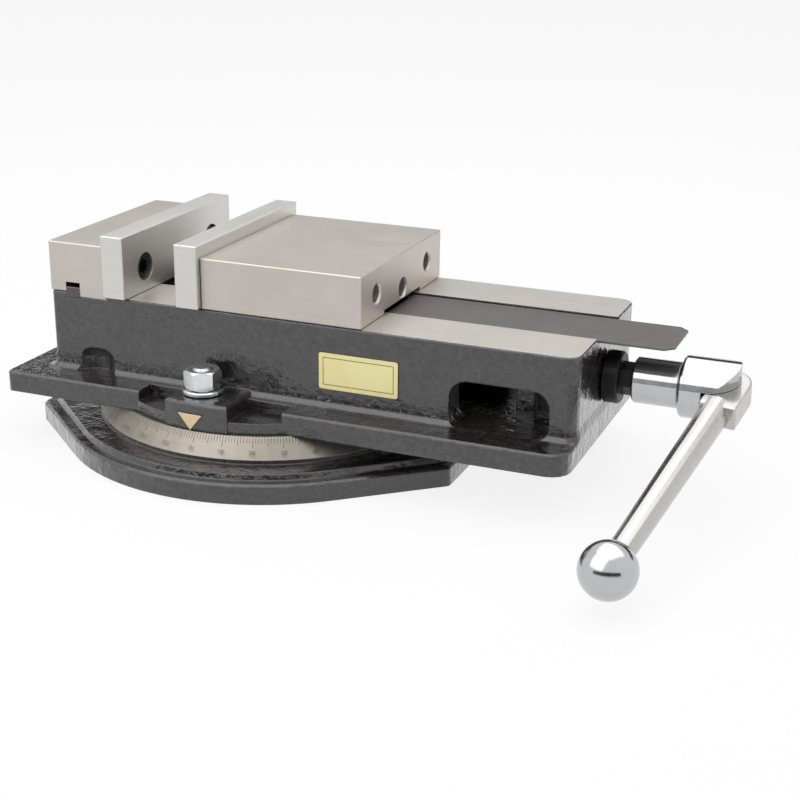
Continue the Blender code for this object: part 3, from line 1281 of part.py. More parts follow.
def make_vise():
    materials = {
        "black_paint": make_finish("black_paint", (0.030, 0.029, 0.030), 0.0, 0.32),
        "ground_steel": make_finish("ground_steel", (0.60, 0.58, 0.56), 1.0, 0.30),
        "plated_steel": make_finish("plated_steel", (0.72, 0.72, 0.71), 1.0, 0.22),
        "black_steel": make_finish("black_steel", (0.020, 0.020, 0.021), 0.6, 0.45),
        "chrome": make_finish("chrome", (0.80, 0.80, 0.80), 1.0, 0.07),
        "satin_chrome": make_finish("satin_chrome", (0.70, 0.70, 0.69), 1.0, 0.25),
        "guard_sheet": make_finish("guard_sheet", (0.21, 0.20, 0.20), 0.9, 0.42),
        "cast_iron": make_finish("cast_iron", (0.22, 0.21, 0.20), 0.9, 0.45),
        "bronze": make_finish("bronze", (0.55, 0.36, 0.16), 1.0, 0.35),
        "brass": make_finish("brass", (0.84, 0.75, 0.36), 0.7, 0.35),
    }
    make_swivel_base(materials["black_paint"])
    make_pivot_pin(materials["ground_steel"])

    swivel = joint_frame("swivel_axis", (0, 0, BODY_BOTTOM))
    make_vise_body(materials["black_paint"], swivel)
    make_clamps(materials, swivel)
    make_body_plates(materials, swivel)
    make_fixed_jaw(materials["ground_steel"], swivel)
    make_fixed_jaw_fastening(materials, swivel)
    make_jaw_plate("fixed_jaw_plate", FIXED_FACE_X, 1, materials["ground_steel"], swivel)
    make_plate_screws("fixed_plate_screw_", FIXED_FACE_X, 1, materials["black_steel"], swivel)

    carriage = joint_frame("jaw_carriage", (MOVABLE_FACE_X, 0, BED_Z), swivel)
    make_movable_jaw(materials["ground_steel"], carriage)
    make_jaw_plate("movable_jaw_plate", MOVABLE_FACE_X, -1, materials["ground_steel"], carriage)
    make_plate_screws("movable_plate_screw_", MOVABLE_FACE_X, -1, materials["black_steel"], carriage)
    make_nut(materials["cast_iron"], carriage)
    make_half_ball(materials["ground_steel"], carriage)
    make_adjusting_screw(materials["black_steel"], carriage)

    screw_frame = joint_frame("screw_axis", (COLLAR_X, 0, SCREW_Z), swivel)
    make_lead_screw(materials["black_steel"], screw_frame)
    make_bearings(materials, swivel, screw_frame)

    guard_frame = joint_frame("guard_slide", (GUARD_END_X, 0, BED_Z), swivel)
    make_chip_guard(materials["guard_sheet"], guard_frame)

    roll = Matrix.Rotation(math.radians(HANDLE_ROLL), 4, "X")
    handle = joint_frame("handle_axis", (HUB_X, 0, SCREW_Z), screw_frame, roll)
    make_handle_hub(materials["chrome"], handle)
    make_fork_pin(materials["plated_steel"], handle)
    fold = joint_frame("fold_axis", (PIN_X, 0, SCREW_Z), handle, roll)
    make_handle_arm(materials["satin_chrome"], fold)
    make_ball_knob(materials["chrome"], fold)


clear_scene()
make_vise()
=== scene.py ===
"""Looks for the milling machine vise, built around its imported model.

Metres, in the row frame: +X from the fixed jaw to the handle, +Z up, origin under the swivel.
"""

import json
import math

import bmesh
import bpy
from mathutils import Matrix, Vector


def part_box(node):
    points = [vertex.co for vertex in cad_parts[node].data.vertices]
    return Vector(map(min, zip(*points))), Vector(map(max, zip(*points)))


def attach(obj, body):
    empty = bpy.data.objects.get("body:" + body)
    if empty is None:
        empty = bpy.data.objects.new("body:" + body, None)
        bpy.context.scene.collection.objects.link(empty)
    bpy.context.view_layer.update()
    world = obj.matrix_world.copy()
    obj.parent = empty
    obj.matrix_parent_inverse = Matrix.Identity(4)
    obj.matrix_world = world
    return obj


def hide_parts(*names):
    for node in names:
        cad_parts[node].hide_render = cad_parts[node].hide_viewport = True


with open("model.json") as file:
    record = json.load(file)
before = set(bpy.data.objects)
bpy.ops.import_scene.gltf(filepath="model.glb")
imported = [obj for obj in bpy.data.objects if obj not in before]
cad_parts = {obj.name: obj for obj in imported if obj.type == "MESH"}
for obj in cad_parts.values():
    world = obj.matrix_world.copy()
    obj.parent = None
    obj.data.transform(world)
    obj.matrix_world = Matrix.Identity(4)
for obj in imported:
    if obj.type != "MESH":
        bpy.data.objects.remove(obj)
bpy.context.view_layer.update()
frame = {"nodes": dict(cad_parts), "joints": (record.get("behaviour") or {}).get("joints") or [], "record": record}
NODES = frame["nodes"]

# The photograph's view
CAMERA_PLACE = (0.4676, -0.9155, 0.3909)
CAMERA_AZIMUTH = 21.917
CAMERA_ELEVATION = 19.955
CAMERA_ROLL = 0.658
FOCAL_PIXELS = 1495.9
FRAME_PIXELS = 800
SENSOR_MM = 36.0


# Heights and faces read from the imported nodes

def low(node):
    return Vector(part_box(node)[0])


def high(node):
    return Vector(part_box(node)[1])


def middle(node):
    return (low(node) + high(node)) / 2


BED_Z = high("vise_body").z
RING_TOP_Z = high("swivel_base").z
SCREW_Z = middle("retaining_collar").z
RING_FOOT_Z = 0.0205
RING_FOOT_RADIUS = 0.1228
RING_TOP_RADIUS = 0.1137

# The swivel scale: degrees between its marks and how far down the bevel each kind reaches
SCALE_MARKS = ((1, 0.0035), (5, 0.0050), (10, 0.0062))
SCALE_MARK_HALF_DEGREES = 0.10
SCALE_NUMBER_STEP = 10
SCALE_NUMBER_SIZE = 0.0044
SCALE_NUMBER_RISE = 0.0046
SCALE_NUMBER_STAND = 0.00015
RING_FOOT_HEIGHT = 0.0030

# The label's printed border
BORDER_INSET = 0.0031
BORDER_WIDTH = 0.0006

# The lead screw's thread and journals
THREAD_LEAD = 0.0050
THREAD_CREST = 0.0127
THREAD_ROOT = 0.0106
SHOULDER_RADIUS = 0.0155
SHOULDER_LENGTH = 0.0060
NEAR_JOURNAL_RADIUS = 0.0110
FAR_JOURNAL_RADIUS = 0.0090
DRIVE_FLATS = 0.01905
THRUST_GAP = 0.0003
SCREW_CHAMFER = 0.0010
SHOULDER_CHAMFER = 0.0008
JOURNAL_CHAMFER = 0.0005
PLAIN_START = 0.0090
PLAIN_END = 0.0060
THREAD_RUNOUT = 0.0012
ROUND_STEPS = 48
KNOB_STEPS = 96

# Lamps and cards: place, size and either power or felt colours, all aimed at the body
STUDIO_AIM = (0.05, 0, 0.08)
KEY_SOFTBOX = ((-0.6, -1.1, 1.4), (2.0, 2.0), 14)
TOP_SOFTBOX = ((0.2, 0.3, 1.6), (2.2, 1.8), 15)
CARD_BEHIND = ((0.0, 1.6, 0.62), (4.0, 0.55), ("#262626", "#303030"))
CARD_IN_FRONT = ((0.4, -1.6, 0.29), (3.6, 0.40), ("#1A1A1A", "#242424"))
AMBIENT_LEVEL = 0.55
FLOOR_SIZE = 12
FLOOR_WHITE_SHARE = 0.85


# Colours and nodes

def linear(code):
    """An sRGB hex colour as linear RGBA."""
    channels = [int(code[place:place + 2], 16) / 255 for place in (1, 3, 5)]
    return [c / 12.92 if c <= 0.04045 else ((c + 0.055) / 1.055) ** 2.4 for c in channels] + [1.0]


def add(tree, kind, inputs=None, output=0, **settings):
    """Adds a node with its settings; each input is a value or another node's output."""
    node = tree.nodes.new("ShaderNode" + kind)
    for name, value in settings.items():
        setattr(node, name, value)
    for name, value in (inputs or {}).items():
        if isinstance(value, bpy.types.NodeSocket):
            tree.links.new(value, node.inputs[name])
        else:
            node.inputs[name].default_value = value
    return node.outputs[output]


def across(*sizes_mm):
    """The scale of a pattern whose features have these sizes along X, Y and Z."""
    return [1000 / size for size in sizes_mm]


def new_material(name):
    """A material, its node tree and the object's own coordinates."""
    material = bpy.data.materials.new(name)
    material.use_nodes = True
    tree = material.node_tree
    return material, tree, add(tree, "TexCoord", output="Object")


def finish_material(material, **sockets):
    """Sets the shader's sockets, by names with spaces as underscores, and returns the material."""
    tree = material.node_tree
    shader = tree.nodes["Principled BSDF"]
    for name, value in sockets.items():
        socket = shader.inputs[name.replace("_", " ")]
        if isinstance(value, bpy.types.NodeSocket):
            tree.links.new(value, socket)
        else:
            socket.default_value = value
    return material


def edge_mask(tree, radius_mm):
    """1 along the edges, where handling wears a finish first and ground steel gets a painted highlight; 0 on the
    faces.
    """
    rounded = add(tree, "Bevel", {"Radius": radius_mm / 1000}, samples=4)
    face = add(tree, "NewGeometry", output="Normal")
    turn = add(tree, "VectorMath", {0: rounded, 1: face}, "Value", operation="DOT_PRODUCT")
    return add(tree, "MapRange", {"Value": turn, "From Min": 0.98, "From Max": 0.80})


# Finishes

def enamel(tree, place):
    """Black gloss enamel brushed over a sand casting: the sand's lumps and the brush's orange peel
    break every reflection into small sparks, and edges wear to dark iron."""
    lumps = add(tree, "TexNoise", {"Vector": place, "Scale": 1000 / 11, "Detail": 3.0, "Roughness": 0.6})
    peel = add(tree, "TexNoise", {"Vector": place, "Scale": 1000 / 3.2, "Detail": 2.0})
    pits = add(tree, "TexNoise", {"Vector": place, "Scale": 1000 / 2.6, "Detail": 3.0})
    pits = add(tree, "MapRange", {"Value": pits, "From Min": 0.38, "From Max": 0.60})
    wear = add(tree, "Math", {0: edge_mask(tree, 0.8), 1: peel}, operation="MULTIPLY")
    colour = add(tree, "Mix", {0: pits, 6: linear("#181617"), 7: linear("#322E2E")}, 2, data_type="RGBA")
    colour = add(tree, "Mix", {0: wear, 6: colour, 7: linear("#6B6663")}, 2, data_type="RGBA")
    roughness = add(tree, "MapRange", {"Value": lumps, "To Min": 0.14, "To Max": 0.30})
    normal = add(tree, "Bevel", {"Radius": 0.0016}, samples=4)
    normal = add(tree, "Bump", {"Height": lumps, "Distance": 0.0014, "Strength": 0.8, "Normal": normal})
    normal = add(tree, "Bump", {"Height": peel, "Distance": 0.00032, "Strength": 0.6, "Normal": normal})
    return colour, roughness, normal


def grinding(tree, place, line_mm, light, dark):
    """Surface-ground steel: fine straight lines, drawn at 0.9 mm where the real ones are 0.1, faint
    clouds of oil and light oxide, and a painted highlight in near white along its edges."""
    lines = add(tree, "Mapping", {"Vector": place, "Scale": across(*line_mm)})
    lines = add(tree, "TexNoise", {"Vector": lines, "Scale": 1.0, "Detail": 3.0})
    clouds = add(tree, "TexNoise", {"Vector": place, "Scale": 1000 / 38, "Detail": 4.0})
    colour = add(tree, "Mix", {0: clouds, 6: linear(dark), 7: linear(light)}, 2, data_type="RGBA")
    # painted highlight: the edges of ground steel are coloured near white
    painted_edge_highlight = add(tree, "Math", {0: edge_mask(tree, 0.5), 1: 0.6}, operation="MULTIPLY")
    colour = add(tree, "Mix", {0: painted_edge_highlight, 6: colour, 7: linear("#EFEDEB")}, 2, data_type="RGBA")
    roughness = add(tree, "MapRange", {"Value": lines, "To Min": 0.36, "To Max": 0.54})
    rounded = add(tree, "Bevel", {"Radius": 0.0005}, samples=4)
    normal = add(tree, "Bump", {"Height": lines, "Distance": 0.00005, "Strength": 0.4,
                                    "Normal": rounded})
    return colour, roughness, normal


def ground_steel(name, line_mm, light, dark):
    """Hardened steel off the surface grinder: pale warm grey with a soft sheen along its lines."""
    material, tree, place = new_material(name)
    colour, roughness, normal = grinding(tree, place, line_mm, light, dark)
    return finish_material(material, Base_Color=colour, Metallic=1.0, Roughness=roughness, Normal=normal)


def two_finishes(material, bare, first, second):
    """Joins enamel and bare metal in one material by a mask of the bare faces. The enamel's clear top
    coat gives its second, sharper reflection, and stops where the metal is bare."""
    tree = material.node_tree
    colour = add(tree, "Mix", {0: bare, 6: first[0], 7: second[0]}, 2, data_type="RGBA")
    roughness = add(tree, "Mix", {0: bare, 2: first[1], 3: second[1]})
    normal = add(tree, "Mix", {0: bare, 4: first[2], 5: second[2]}, 1, data_type="VECTOR")
    lacquer = add(tree, "MapRange", {"Value": bare, "To Min": 1.0, "To Max": 0.0})
    return finish_material(material, Base_Color=colour, Metallic=bare, Roughness=roughness, Normal=normal,
                           IOR=1.52, Coat_Weight=lacquer, Coat_Roughness=0.14, Coat_IOR=1.5,
                           Coat_Normal=normal)


def body_finish():
    """Enamelled casting whose bed ways and guard ledges are ground bright along the body."""
    material, tree, place = new_material("black_enamel_on_cast_iron_ground_bed")
    z = add(tree, "SeparateXYZ", {"Vector": place}, "Z")
    up = add(tree, "SeparateXYZ", {"Vector": add(tree, "TexCoord", output="Normal")}, "Z")
    above = add(tree, "Math", {0: z, 1: BED_Z - 0.0034}, operation="GREATER_THAN")
    flat = add(tree, "Math", {0: up, 1: 0.9}, operation="GREATER_THAN")
    bare = add(tree, "Math", {0: above, 1: flat}, operation="MULTIPLY")
    steel = grinding(tree, place, (60, 0.9, 60), "#DAD6D1", "#CDC8C2")
    return two_finishes(material, bare, enamel(tree, place), steel)


def base_finish():
    """Enamelled base whose swivel ring is turned bright, with an engraved scale of degrees."""
    material, tree, place = new_material("black_enamel_on_cast_iron_turned_ring")
    x = add(tree, "SeparateXYZ", {"Vector": place}, "X")
    y = add(tree, "SeparateXYZ", {"Vector": place}, "Y")
    z = add(tree, "SeparateXYZ", {"Vector": place}, "Z")
    flat = add(tree, "CombineXYZ", {"X": x, "Y": y})
    radius = add(tree, "VectorMath", {0: flat}, "Value", operation="LENGTH")
    inside = add(tree, "Math", {0: radius, 1: RING_FOOT_RADIUS}, operation="LESS_THAN")
    above = add(tree, "Math", {0: z, 1: RING_FOOT_Z}, operation="GREATER_THAN")
    bare = add(tree, "Math", {0: inside, 1: above}, operation="MULTIPLY")
    colour, roughness, normal = grinding(tree, place, (80, 80, 0.6), "#A8A198", "#7F7971")
    angle = add(tree, "Math", {0: x, 1: y}, operation="ARCTAN2")
    angle = add(tree, "Math", {0: angle, 1: 180 / math.pi}, operation="MULTIPLY")
    for step, reach in SCALE_MARKS:
        turn = add(tree, "Math", {0: angle, 1: step / 2}, operation="PINGPONG")
        line = add(tree, "Math", {0: turn, 1: SCALE_MARK_HALF_DEGREES}, operation="LESS_THAN")
        tall = add(tree, "Math", {0: z, 1: RING_TOP_Z - reach}, operation="GREATER_THAN")
        mark = add(tree, "Math", {0: line, 1: tall}, operation="MULTIPLY")
        colour = add(tree, "Mix", {0: mark, 6: colour, 7: linear("#5C554C")}, 2, data_type="RGBA")
    return two_finishes(material, bare, enamel(tree, place), (colour, roughness, normal))


def key_finish():
    """The jaw key: ground steel coloured dark grey as painted shade where it fills the slot, enamelled with the
    body where its ends show.
    """
    material, tree, place = new_material("steel_key_painted_ends")
    z = add(tree, "SeparateXYZ", {"Vector": place}, "Z")
    bare = add(tree, "Math", {0: z, 1: BED_Z + 0.0001}, operation="GREATER_THAN")
    # painted shade: the key's steel is coloured dark grey for the shade in the jaw's slot
    steel = grinding(tree, place, (60, 0.9, 0.9), "#6E6A66", "#5A5653")
    return two_finishes(material, bare, enamel(tree, place), steel)


def black_oxide(name):
    """Turned steel with a black oxide skin: dull black with a faint brown-grey sheen."""
    material, tree, place = new_material(name)
    cloud = add(tree, "TexNoise", {"Vector": place, "Scale": 1000 / 6, "Detail": 3.0})
    rings = add(tree, "Mapping", {"Vector": place, "Scale": across(0.7, 14, 14)})
    rings = add(tree, "TexNoise", {"Vector": rings, "Scale": 1.0, "Detail": 2.0})
    colour = add(tree, "Mix", {0: cloud, 6: linear("#1B1A1A"), 7: linear("#2A2827")}, 2, data_type="RGBA")
    colour = add(tree, "Mix", {0: edge_mask(tree, 0.4), 6: colour, 7: linear("#4A4644")}, 2,
                 data_type="RGBA")
    roughness = add(tree, "MapRange", {"Value": cloud, "To Min": 0.36, "To Max": 0.52})
    rounded = add(tree, "Bevel", {"Radius": 0.0004}, samples=4)
    normal = add(tree, "Bump", {"Height": rings, "Distance": 0.00004, "Strength": 0.4,
                                    "Normal": rounded})
    return finish_material(material, Base_Color=colour, Metallic=0.6, Roughness=roughness, Normal=normal)


def polished_chrome(name):
    """Bright chrome plate over a polished casting: a near mirror with soft waves."""
    material, tree, place = new_material(name)
    waves = add(tree, "TexNoise", {"Vector": place, "Scale": 1000 / 9, "Detail": 2.0})
    colour = add(tree, "Mix", {0: waves, 6: linear("#B5B6B7"), 7: linear("#C3C4C5")}, 2, data_type="RGBA")
    roughness = add(tree, "MapRange", {"Value": waves, "To Min": 0.12, "To Max": 0.19})
    rounded = add(tree, "Bevel", {"Radius": 0.0008}, samples=4)
    normal = add(tree, "Bump", {"Height": waves, "Distance": 0.00012, "Strength": 0.3,
                                    "Normal": rounded})
    return finish_material(material, Base_Color=colour, Metallic=1.0, Roughness=roughness, Normal=normal)


def satin_chrome(name):
    """Chrome plate over a belt-sanded forging: bright, with blurred streaks along the arm."""
    material, tree, place = new_material(name)
    streaks = add(tree, "Mapping", {"Vector": place, "Scale": across(1.4, 30, 1.4)})
    streaks = add(tree, "TexNoise", {"Vector": streaks, "Scale": 1.0, "Detail": 3.0})
    colour = add(tree, "Mix", {0: streaks, 6: linear("#B3B2AF"), 7: linear("#C4C3C0")}, 2,
                 data_type="RGBA")
    roughness = add(tree, "MapRange", {"Value": streaks, "To Min": 0.16, "To Max": 0.30})
    rounded = add(tree, "Bevel", {"Radius": 0.0008}, samples=4)
    normal = add(tree, "Bump", {"Height": streaks, "Distance": 0.00006, "Strength": 0.4,
                                    "Normal": rounded})
    return finish_material(material, Base_Color=colour, Metallic=1.0, Roughness=roughness, Normal=normal)


def zinc_plate(name):
    """Bright zinc on a hot-forged fastener: pale, slightly blue-grey, gently mottled."""
    material, tree, place = new_material(name)
    mottle = add(tree, "TexNoise", {"Vector": place, "Scale": 1000 / 3, "Detail": 3.0})
    colour = add(tree, "Mix", {0: mottle, 6: linear("#CACDCE"), 7: linear("#E4E6E6")}, 2,
                 data_type="RGBA")
    roughness = add(tree, "MapRange", {"Value": mottle, "To Min": 0.14, "To Max": 0.30})
    rounded = add(tree, "Bevel", {"Radius": 0.0005}, samples=4)
    normal = add(tree, "Bump", {"Height": mottle, "Distance": 0.00010, "Strength": 0.3,
                                    "Normal": rounded})
    return finish_material(material, Base_Color=colour, Metallic=1.0, Roughness=roughness, Normal=normal)


def threaded_stud(name):
    """Zinc plated stud with its cut thread, drawn at 1.75 mm as the real pitch is, with painted shade in the
    thread's roots.
    """
    material, tree, place = new_material(name)
    thread = add(tree, "TexWave", {"Vector": place, "Scale": 1000 / 1.75 / 20 * math.pi},
                 "Fac", wave_type="BANDS", bands_direction="Z")
    up = add(tree, "SeparateXYZ", {"Vector": add(tree, "TexCoord", output="Normal")}, "Z")
    side = add(tree, "Math", {0: up, 1: 0.5}, operation="LESS_THAN")
    height = add(tree, "Math", {0: thread, 1: side}, operation="MULTIPLY")
    # painted shade: the thread's roots, and the stud's end faces with them, are coloured darker than the crests
    colour = add(tree, "Mix", {0: height, 6: linear("#B9BCBC"), 7: linear("#D6D8D8")}, 2,
                 data_type="RGBA")
    roughness = add(tree, "MapRange", {"Value": height, "To Min": 0.34, "To Max": 0.22})
    rounded = add(tree, "Bevel", {"Radius": 0.0006}, samples=4)
    normal = add(tree, "Bump", {"Height": height, "Distance": 0.0008, "Strength": 0.8,
                                    "Normal": rounded})
    return finish_material(material, Base_Color=colour, Metallic=1.0, Roughness=roughness, Normal=normal)


def rolled_sheet(name):
    """Cold-rolled steel sheet, phosphated: mid grey and satin, with rolling lines along it."""
    material, tree, place = new_material(name)
    lines = add(tree, "Mapping", {"Vector": place, "Scale": across(80, 1.5, 80)})
    lines = add(tree, "TexNoise", {"Vector": lines, "Scale": 1.0, "Detail": 3.0})
    clouds = add(tree, "TexNoise", {"Vector": place, "Scale": 1000 / 26, "Detail": 3.0})
    colour = add(tree, "Mix", {0: clouds, 6: linear("#6F6B6A"), 7: linear("#7E7A79")}, 2,
                 data_type="RGBA")
    colour = add(tree, "Mix", {0: edge_mask(tree, 0.3), 6: colour, 7: linear("#A09C9A")}, 2,
                 data_type="RGBA")
    roughness = add(tree, "MapRange", {"Value": lines, "To Min": 0.42, "To Max": 0.56})
    normal = add(tree, "Bump", {"Height": lines, "Distance": 0.00005, "Strength": 0.3})
    return finish_material(material, Base_Color=colour, Metallic=0.85, Roughness=roughness, Normal=normal)


def turned_bronze(name):
    """Bearing bronze, turned: warm brown-gold with fine rings."""
    material, tree, place = new_material(name)
    rings = add(tree, "Mapping", {"Vector": place, "Scale": across(0.5, 20, 20)})
    rings = add(tree, "TexNoise", {"Vector": rings, "Scale": 1.0, "Detail": 2.0})
    colour = add(tree, "Mix", {0: rings, 6: linear("#A9824B"), 7: linear("#BF9A5E")}, 2,
                 data_type="RGBA")
    roughness = add(tree, "MapRange", {"Value": rings, "To Min": 0.26, "To Max": 0.40})
    normal = add(tree, "Bump", {"Height": rings, "Distance": 0.00004, "Strength": 0.4})
    return finish_material(material, Base_Color=colour, Metallic=1.0, Roughness=roughness, Normal=normal)


def machined_iron(name):
    """Ductile iron, milled and oiled: dark grey with short tool marks."""
    material, tree, place = new_material(name)
    marks = add(tree, "Mapping", {"Vector": place, "Scale": across(1.0, 12, 12)})
    marks = add(tree, "TexNoise", {"Vector": marks, "Scale": 1.0, "Detail": 3.0})
    colour = add(tree, "Mix", {0: marks, 6: linear("#66625E"), 7: linear("#7F7A75")}, 2,
                 data_type="RGBA")
    roughness = add(tree, "MapRange", {"Value": marks, "To Min": 0.32, "To Max": 0.48})
    normal = add(tree, "Bump", {"Height": marks, "Distance": 0.00005, "Strength": 0.4})
    return finish_material(material, Base_Color=colour, Metallic=0.95, Roughness=roughness, Normal=normal)


def lacquered_label():
    """Thin brass sheet under pale yellow lacquer, with a printed border line and nothing else."""
    material, tree, place = new_material("yellow_lacquer_on_brass_sheet")
    centre = middle("name_plate")
    half = (high("name_plate") - low("name_plate")) / 2
    clouds = add(tree, "TexNoise", {"Vector": place, "Scale": 1000 / 14, "Detail": 3.0})
    colour = add(tree, "Mix", {0: clouds, 6: linear("#E9DE98"), 7: linear("#F3EBB4")}, 2,
                 data_type="RGBA")
    offset = add(tree, "VectorMath", {0: place, 1: centre}, operation="SUBTRACT")
    offset = add(tree, "VectorMath", {0: offset}, operation="ABSOLUTE")
    from_edge = add(tree, "VectorMath", {0: half, 1: offset}, operation="SUBTRACT")
    from_side = add(tree, "SeparateXYZ", {"Vector": from_edge}, "X")
    from_top = add(tree, "SeparateXYZ", {"Vector": from_edge}, "Z")
    nearest = add(tree, "Math", {0: from_side, 1: from_top}, operation="MINIMUM")
    border = add(tree, "Math", {0: nearest, 1: BORDER_INSET, 2: BORDER_WIDTH / 2}, operation="COMPARE")
    colour = add(tree, "Mix", {0: border, 6: colour, 7: linear("#8A7434")}, 2, data_type="RGBA")
    roughness = add(tree, "MapRange", {"Value": clouds, "To Min": 0.26, "To Max": 0.38})
    rounded = add(tree, "Bevel", {"Radius": 0.0003}, samples=4)
    return finish_material(material, Base_Color=colour, Metallic=0.1, Roughness=roughness, Normal=rounded)


def lacquered_pointer():
    """Brass sheet pointer under cream lacquer, a little rubbed at its edges."""
    material, tree, place = new_material("cream_lacquer_on_brass_pointer")
    rub = add(tree, "TexNoise", {"Vector": place, "Scale": 1000 / 4, "Detail": 3.0})
    colour = add(tree, "Mix", {0: rub, 6: linear("#D9B98A"), 7: linear("#EFDDBC")}, 2, data_type="RGBA")
    colour = add(tree, "Mix", {0: edge_mask(tree, 0.6), 6: colour, 7: linear("#F6ECD6")}, 2,
                 data_type="RGBA")
    roughness = add(tree, "MapRange", {"Value": rub, "To Min": 0.30, "To Max": 0.46})
    rounded = add(tree, "Bevel", {"Radius": 0.0003}, samples=4)
    return finish_material(material, Base_Color=colour, Metallic=0.1, Roughness=roughness, Normal=rounded)


def scale_ink():
    """Dark filler in the engraved numbers of the scale, worn uneven."""
    material, tree, place = new_material("dark_filler_in_engraving")
    wear = add(tree, "TexNoise", {"Vector": place, "Scale": 1000 / 2, "Detail": 2.0})
    colour = add(tree, "Mix", {0: wear, 6: linear("#4B453E"), 7: linear("#7A7268")}, 2, data_type="RGBA")
    roughness = add(tree, "MapRange", {"Value": wear, "To Min": 0.5, "To Max": 0.7})
    return finish_material(material, Base_Color=colour, Roughness=roughness)


def dress_nodes():
    """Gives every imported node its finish."""
    finishes = {
        "black_paint": body_finish(),
        "ground_steel": ground_steel("ground_tool_steel", (60, 0.9, 0.9), "#D2CCC6", "#C2BAB3"),
        "plated_steel": zinc_plate("bright_zinc_plate"),
        "black_steel": black_oxide("black_oxide_steel"),
        "chrome": polished_chrome("polished_chrome_plate"),
        "satin_chrome": satin_chrome("satin_chrome_plate"),
        "guard_sheet": rolled_sheet("phosphated_sheet_steel"),
        "cast_iron": machined_iron("milled_ductile_iron"),
        "bronze": turned_bronze("bearing_bronze"),
        "brass": lacquered_label(),
    }
    plates = ground_steel("ground_jaw_plate_steel", (0.9, 60, 0.9), "#DEDCD9", "#D2CFCB")
    stud = threaded_stud("zinc_plated_threaded_stud")
    special = {
        "swivel_base": base_finish(),
        "fixed_jaw_plate": plates,
        "movable_jaw_plate": plates,
        "fixed_jaw_key": key_finish(),
        "angle_pointer": lacquered_pointer(),
        "t_bolt_front": stud,
        "t_bolt_rear": stud,
    }
    slots = {entry["node"]: entry["material_slot"] for entry in frame["record"]["subparts"]}
    for name, node in NODES.items():
        node.data.materials.clear()
        node.data.materials.append(special.get(name) or finishes[slots[name]])
    return finishes


# Pieces

def new_piece(name, mesh, material, body):
    """An object of the scene made from a mesh, with its finish, riding on a body."""
    piece = bpy.data.objects.new(name, mesh)
    bpy.context.scene.collection.objects.link(piece)
    mesh.materials.append(material)
    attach(piece, body)
    return piece


def lathe(builder, profile, steps):
    """Adds a turned surface about X from pairs of a radius and a place along X."""
    rings = []
    for radius, x in profile:
        turns = [2 * math.pi * step / steps for step in range(steps)]
        points = [(x, radius * math.cos(turn), radius * math.sin(turn)) for turn in turns]
        rings.append([builder.verts.new(point) for point in points])
    for first, second in zip(rings, rings[1:]):
        for step in range(steps):
            after = (step + 1) % steps
            builder.faces.new((first[step], first[after], second[after], second[step]))
    builder.faces.new(rings[0][::-1])
    builder.faces.new(rings[-1])


def thread(builder, start, end, steps):
    """Adds a left-hand trapezoid thread about X that fades into the plain ends."""
    profile = [(THREAD_ROOT, 0.0), (THREAD_ROOT, 0.34), (THREAD_CREST, 0.50), (THREAD_CREST, 0.84),
               (THREAD_ROOT, 1.0)]
    turns = math.ceil((end - start) / THREAD_LEAD) + 1
    rows = []
    for step in range((turns + 1) * steps + 1):
        angle = -2 * math.pi * step / steps
        shift = start + (step / steps - 1) * THREAD_LEAD
        row = []
        for radius, share in profile:
            x = min(max(shift + share * THREAD_LEAD, start), end)
            row.append(builder.verts.new((x, radius * math.cos(angle), radius * math.sin(angle))))
        rows.append(row)
    for first, second in zip(rows, rows[1:]):
        for place in range(len(profile) - 1):
            builder.faces.new((first[place], first[place + 1], second[place + 1], second[place]))


def make_threaded_screw(steel, black):
    """The lead screw with its real thread, its journals and its hexagon drive."""
    far = low("lead_screw").x
    cavity = high("screw_bush").x
    shoulder = low("thrust_washer_inner").x - THRUST_GAP
    thread_end = shoulder - SHOULDER_LENGTH
    journal_end = high("retaining_collar").x
    drive_end = high("lead_screw").x
    builder = bmesh.new()
    plain_start = cavity + THRUST_GAP
    runout = cavity + PLAIN_START + THREAD_RUNOUT
    thread_start = cavity + PLAIN_START + THREAD_LEAD * 0.4
    thread_stop = thread_end - PLAIN_END
    lathe(builder, [(FAR_JOURNAL_RADIUS - SCREW_CHAMFER, far), (FAR_JOURNAL_RADIUS, far + SCREW_CHAMFER),
                    (FAR_JOURNAL_RADIUS, plain_start), (THREAD_CREST - SCREW_CHAMFER, plain_start),
                    (THREAD_CREST, plain_start + SCREW_CHAMFER), (THREAD_CREST, cavity + PLAIN_START),
                    (THREAD_ROOT, runout), (THREAD_ROOT, thread_start + SCREW_CHAMFER)], ROUND_STEPS)
    thread(builder, thread_start, thread_stop, ROUND_STEPS)
    lathe(builder, [(THREAD_ROOT, thread_stop - SCREW_CHAMFER), (THREAD_ROOT, thread_end),
                    (SHOULDER_RADIUS - SHOULDER_CHAMFER, thread_end),
                    (SHOULDER_RADIUS, thread_end + SHOULDER_CHAMFER),
                    (SHOULDER_RADIUS, shoulder), (NEAR_JOURNAL_RADIUS, shoulder),
                    (NEAR_JOURNAL_RADIUS, journal_end - JOURNAL_CHAMFER),
                    (NEAR_JOURNAL_RADIUS - JOURNAL_CHAMFER, journal_end)], ROUND_STEPS)
    corner = DRIVE_FLATS / math.sqrt(3)
    drive_start = journal_end - 2 * SCREW_CHAMFER
    lathe(builder, [(corner, drive_start), (corner, drive_end - SCREW_CHAMFER),
                    (corner - SCREW_CHAMFER, drive_end)], 6)
    for face in builder.faces:
        face.material_index = 1 if face.calc_center_median().x > drive_start - SCREW_CHAMFER else 0
    mesh = bpy.data.meshes.new("lead_screw_threaded")
    builder.to_mesh(mesh)
    builder.free()
    fold = Vector(next(joint["axis"] for joint in frame["joints"] if joint["name"] == "handle_fold"))
    roll = Matrix.Rotation(math.atan2(-fold.y, fold.z), 4, "X")
    mesh.transform(Matrix.Translation((0, 0, SCREW_Z)) @ roll)
    piece = new_piece("lead_screw_threaded", mesh, steel, "screw_unit")
    mesh.materials.append(black)
    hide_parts("lead_screw")


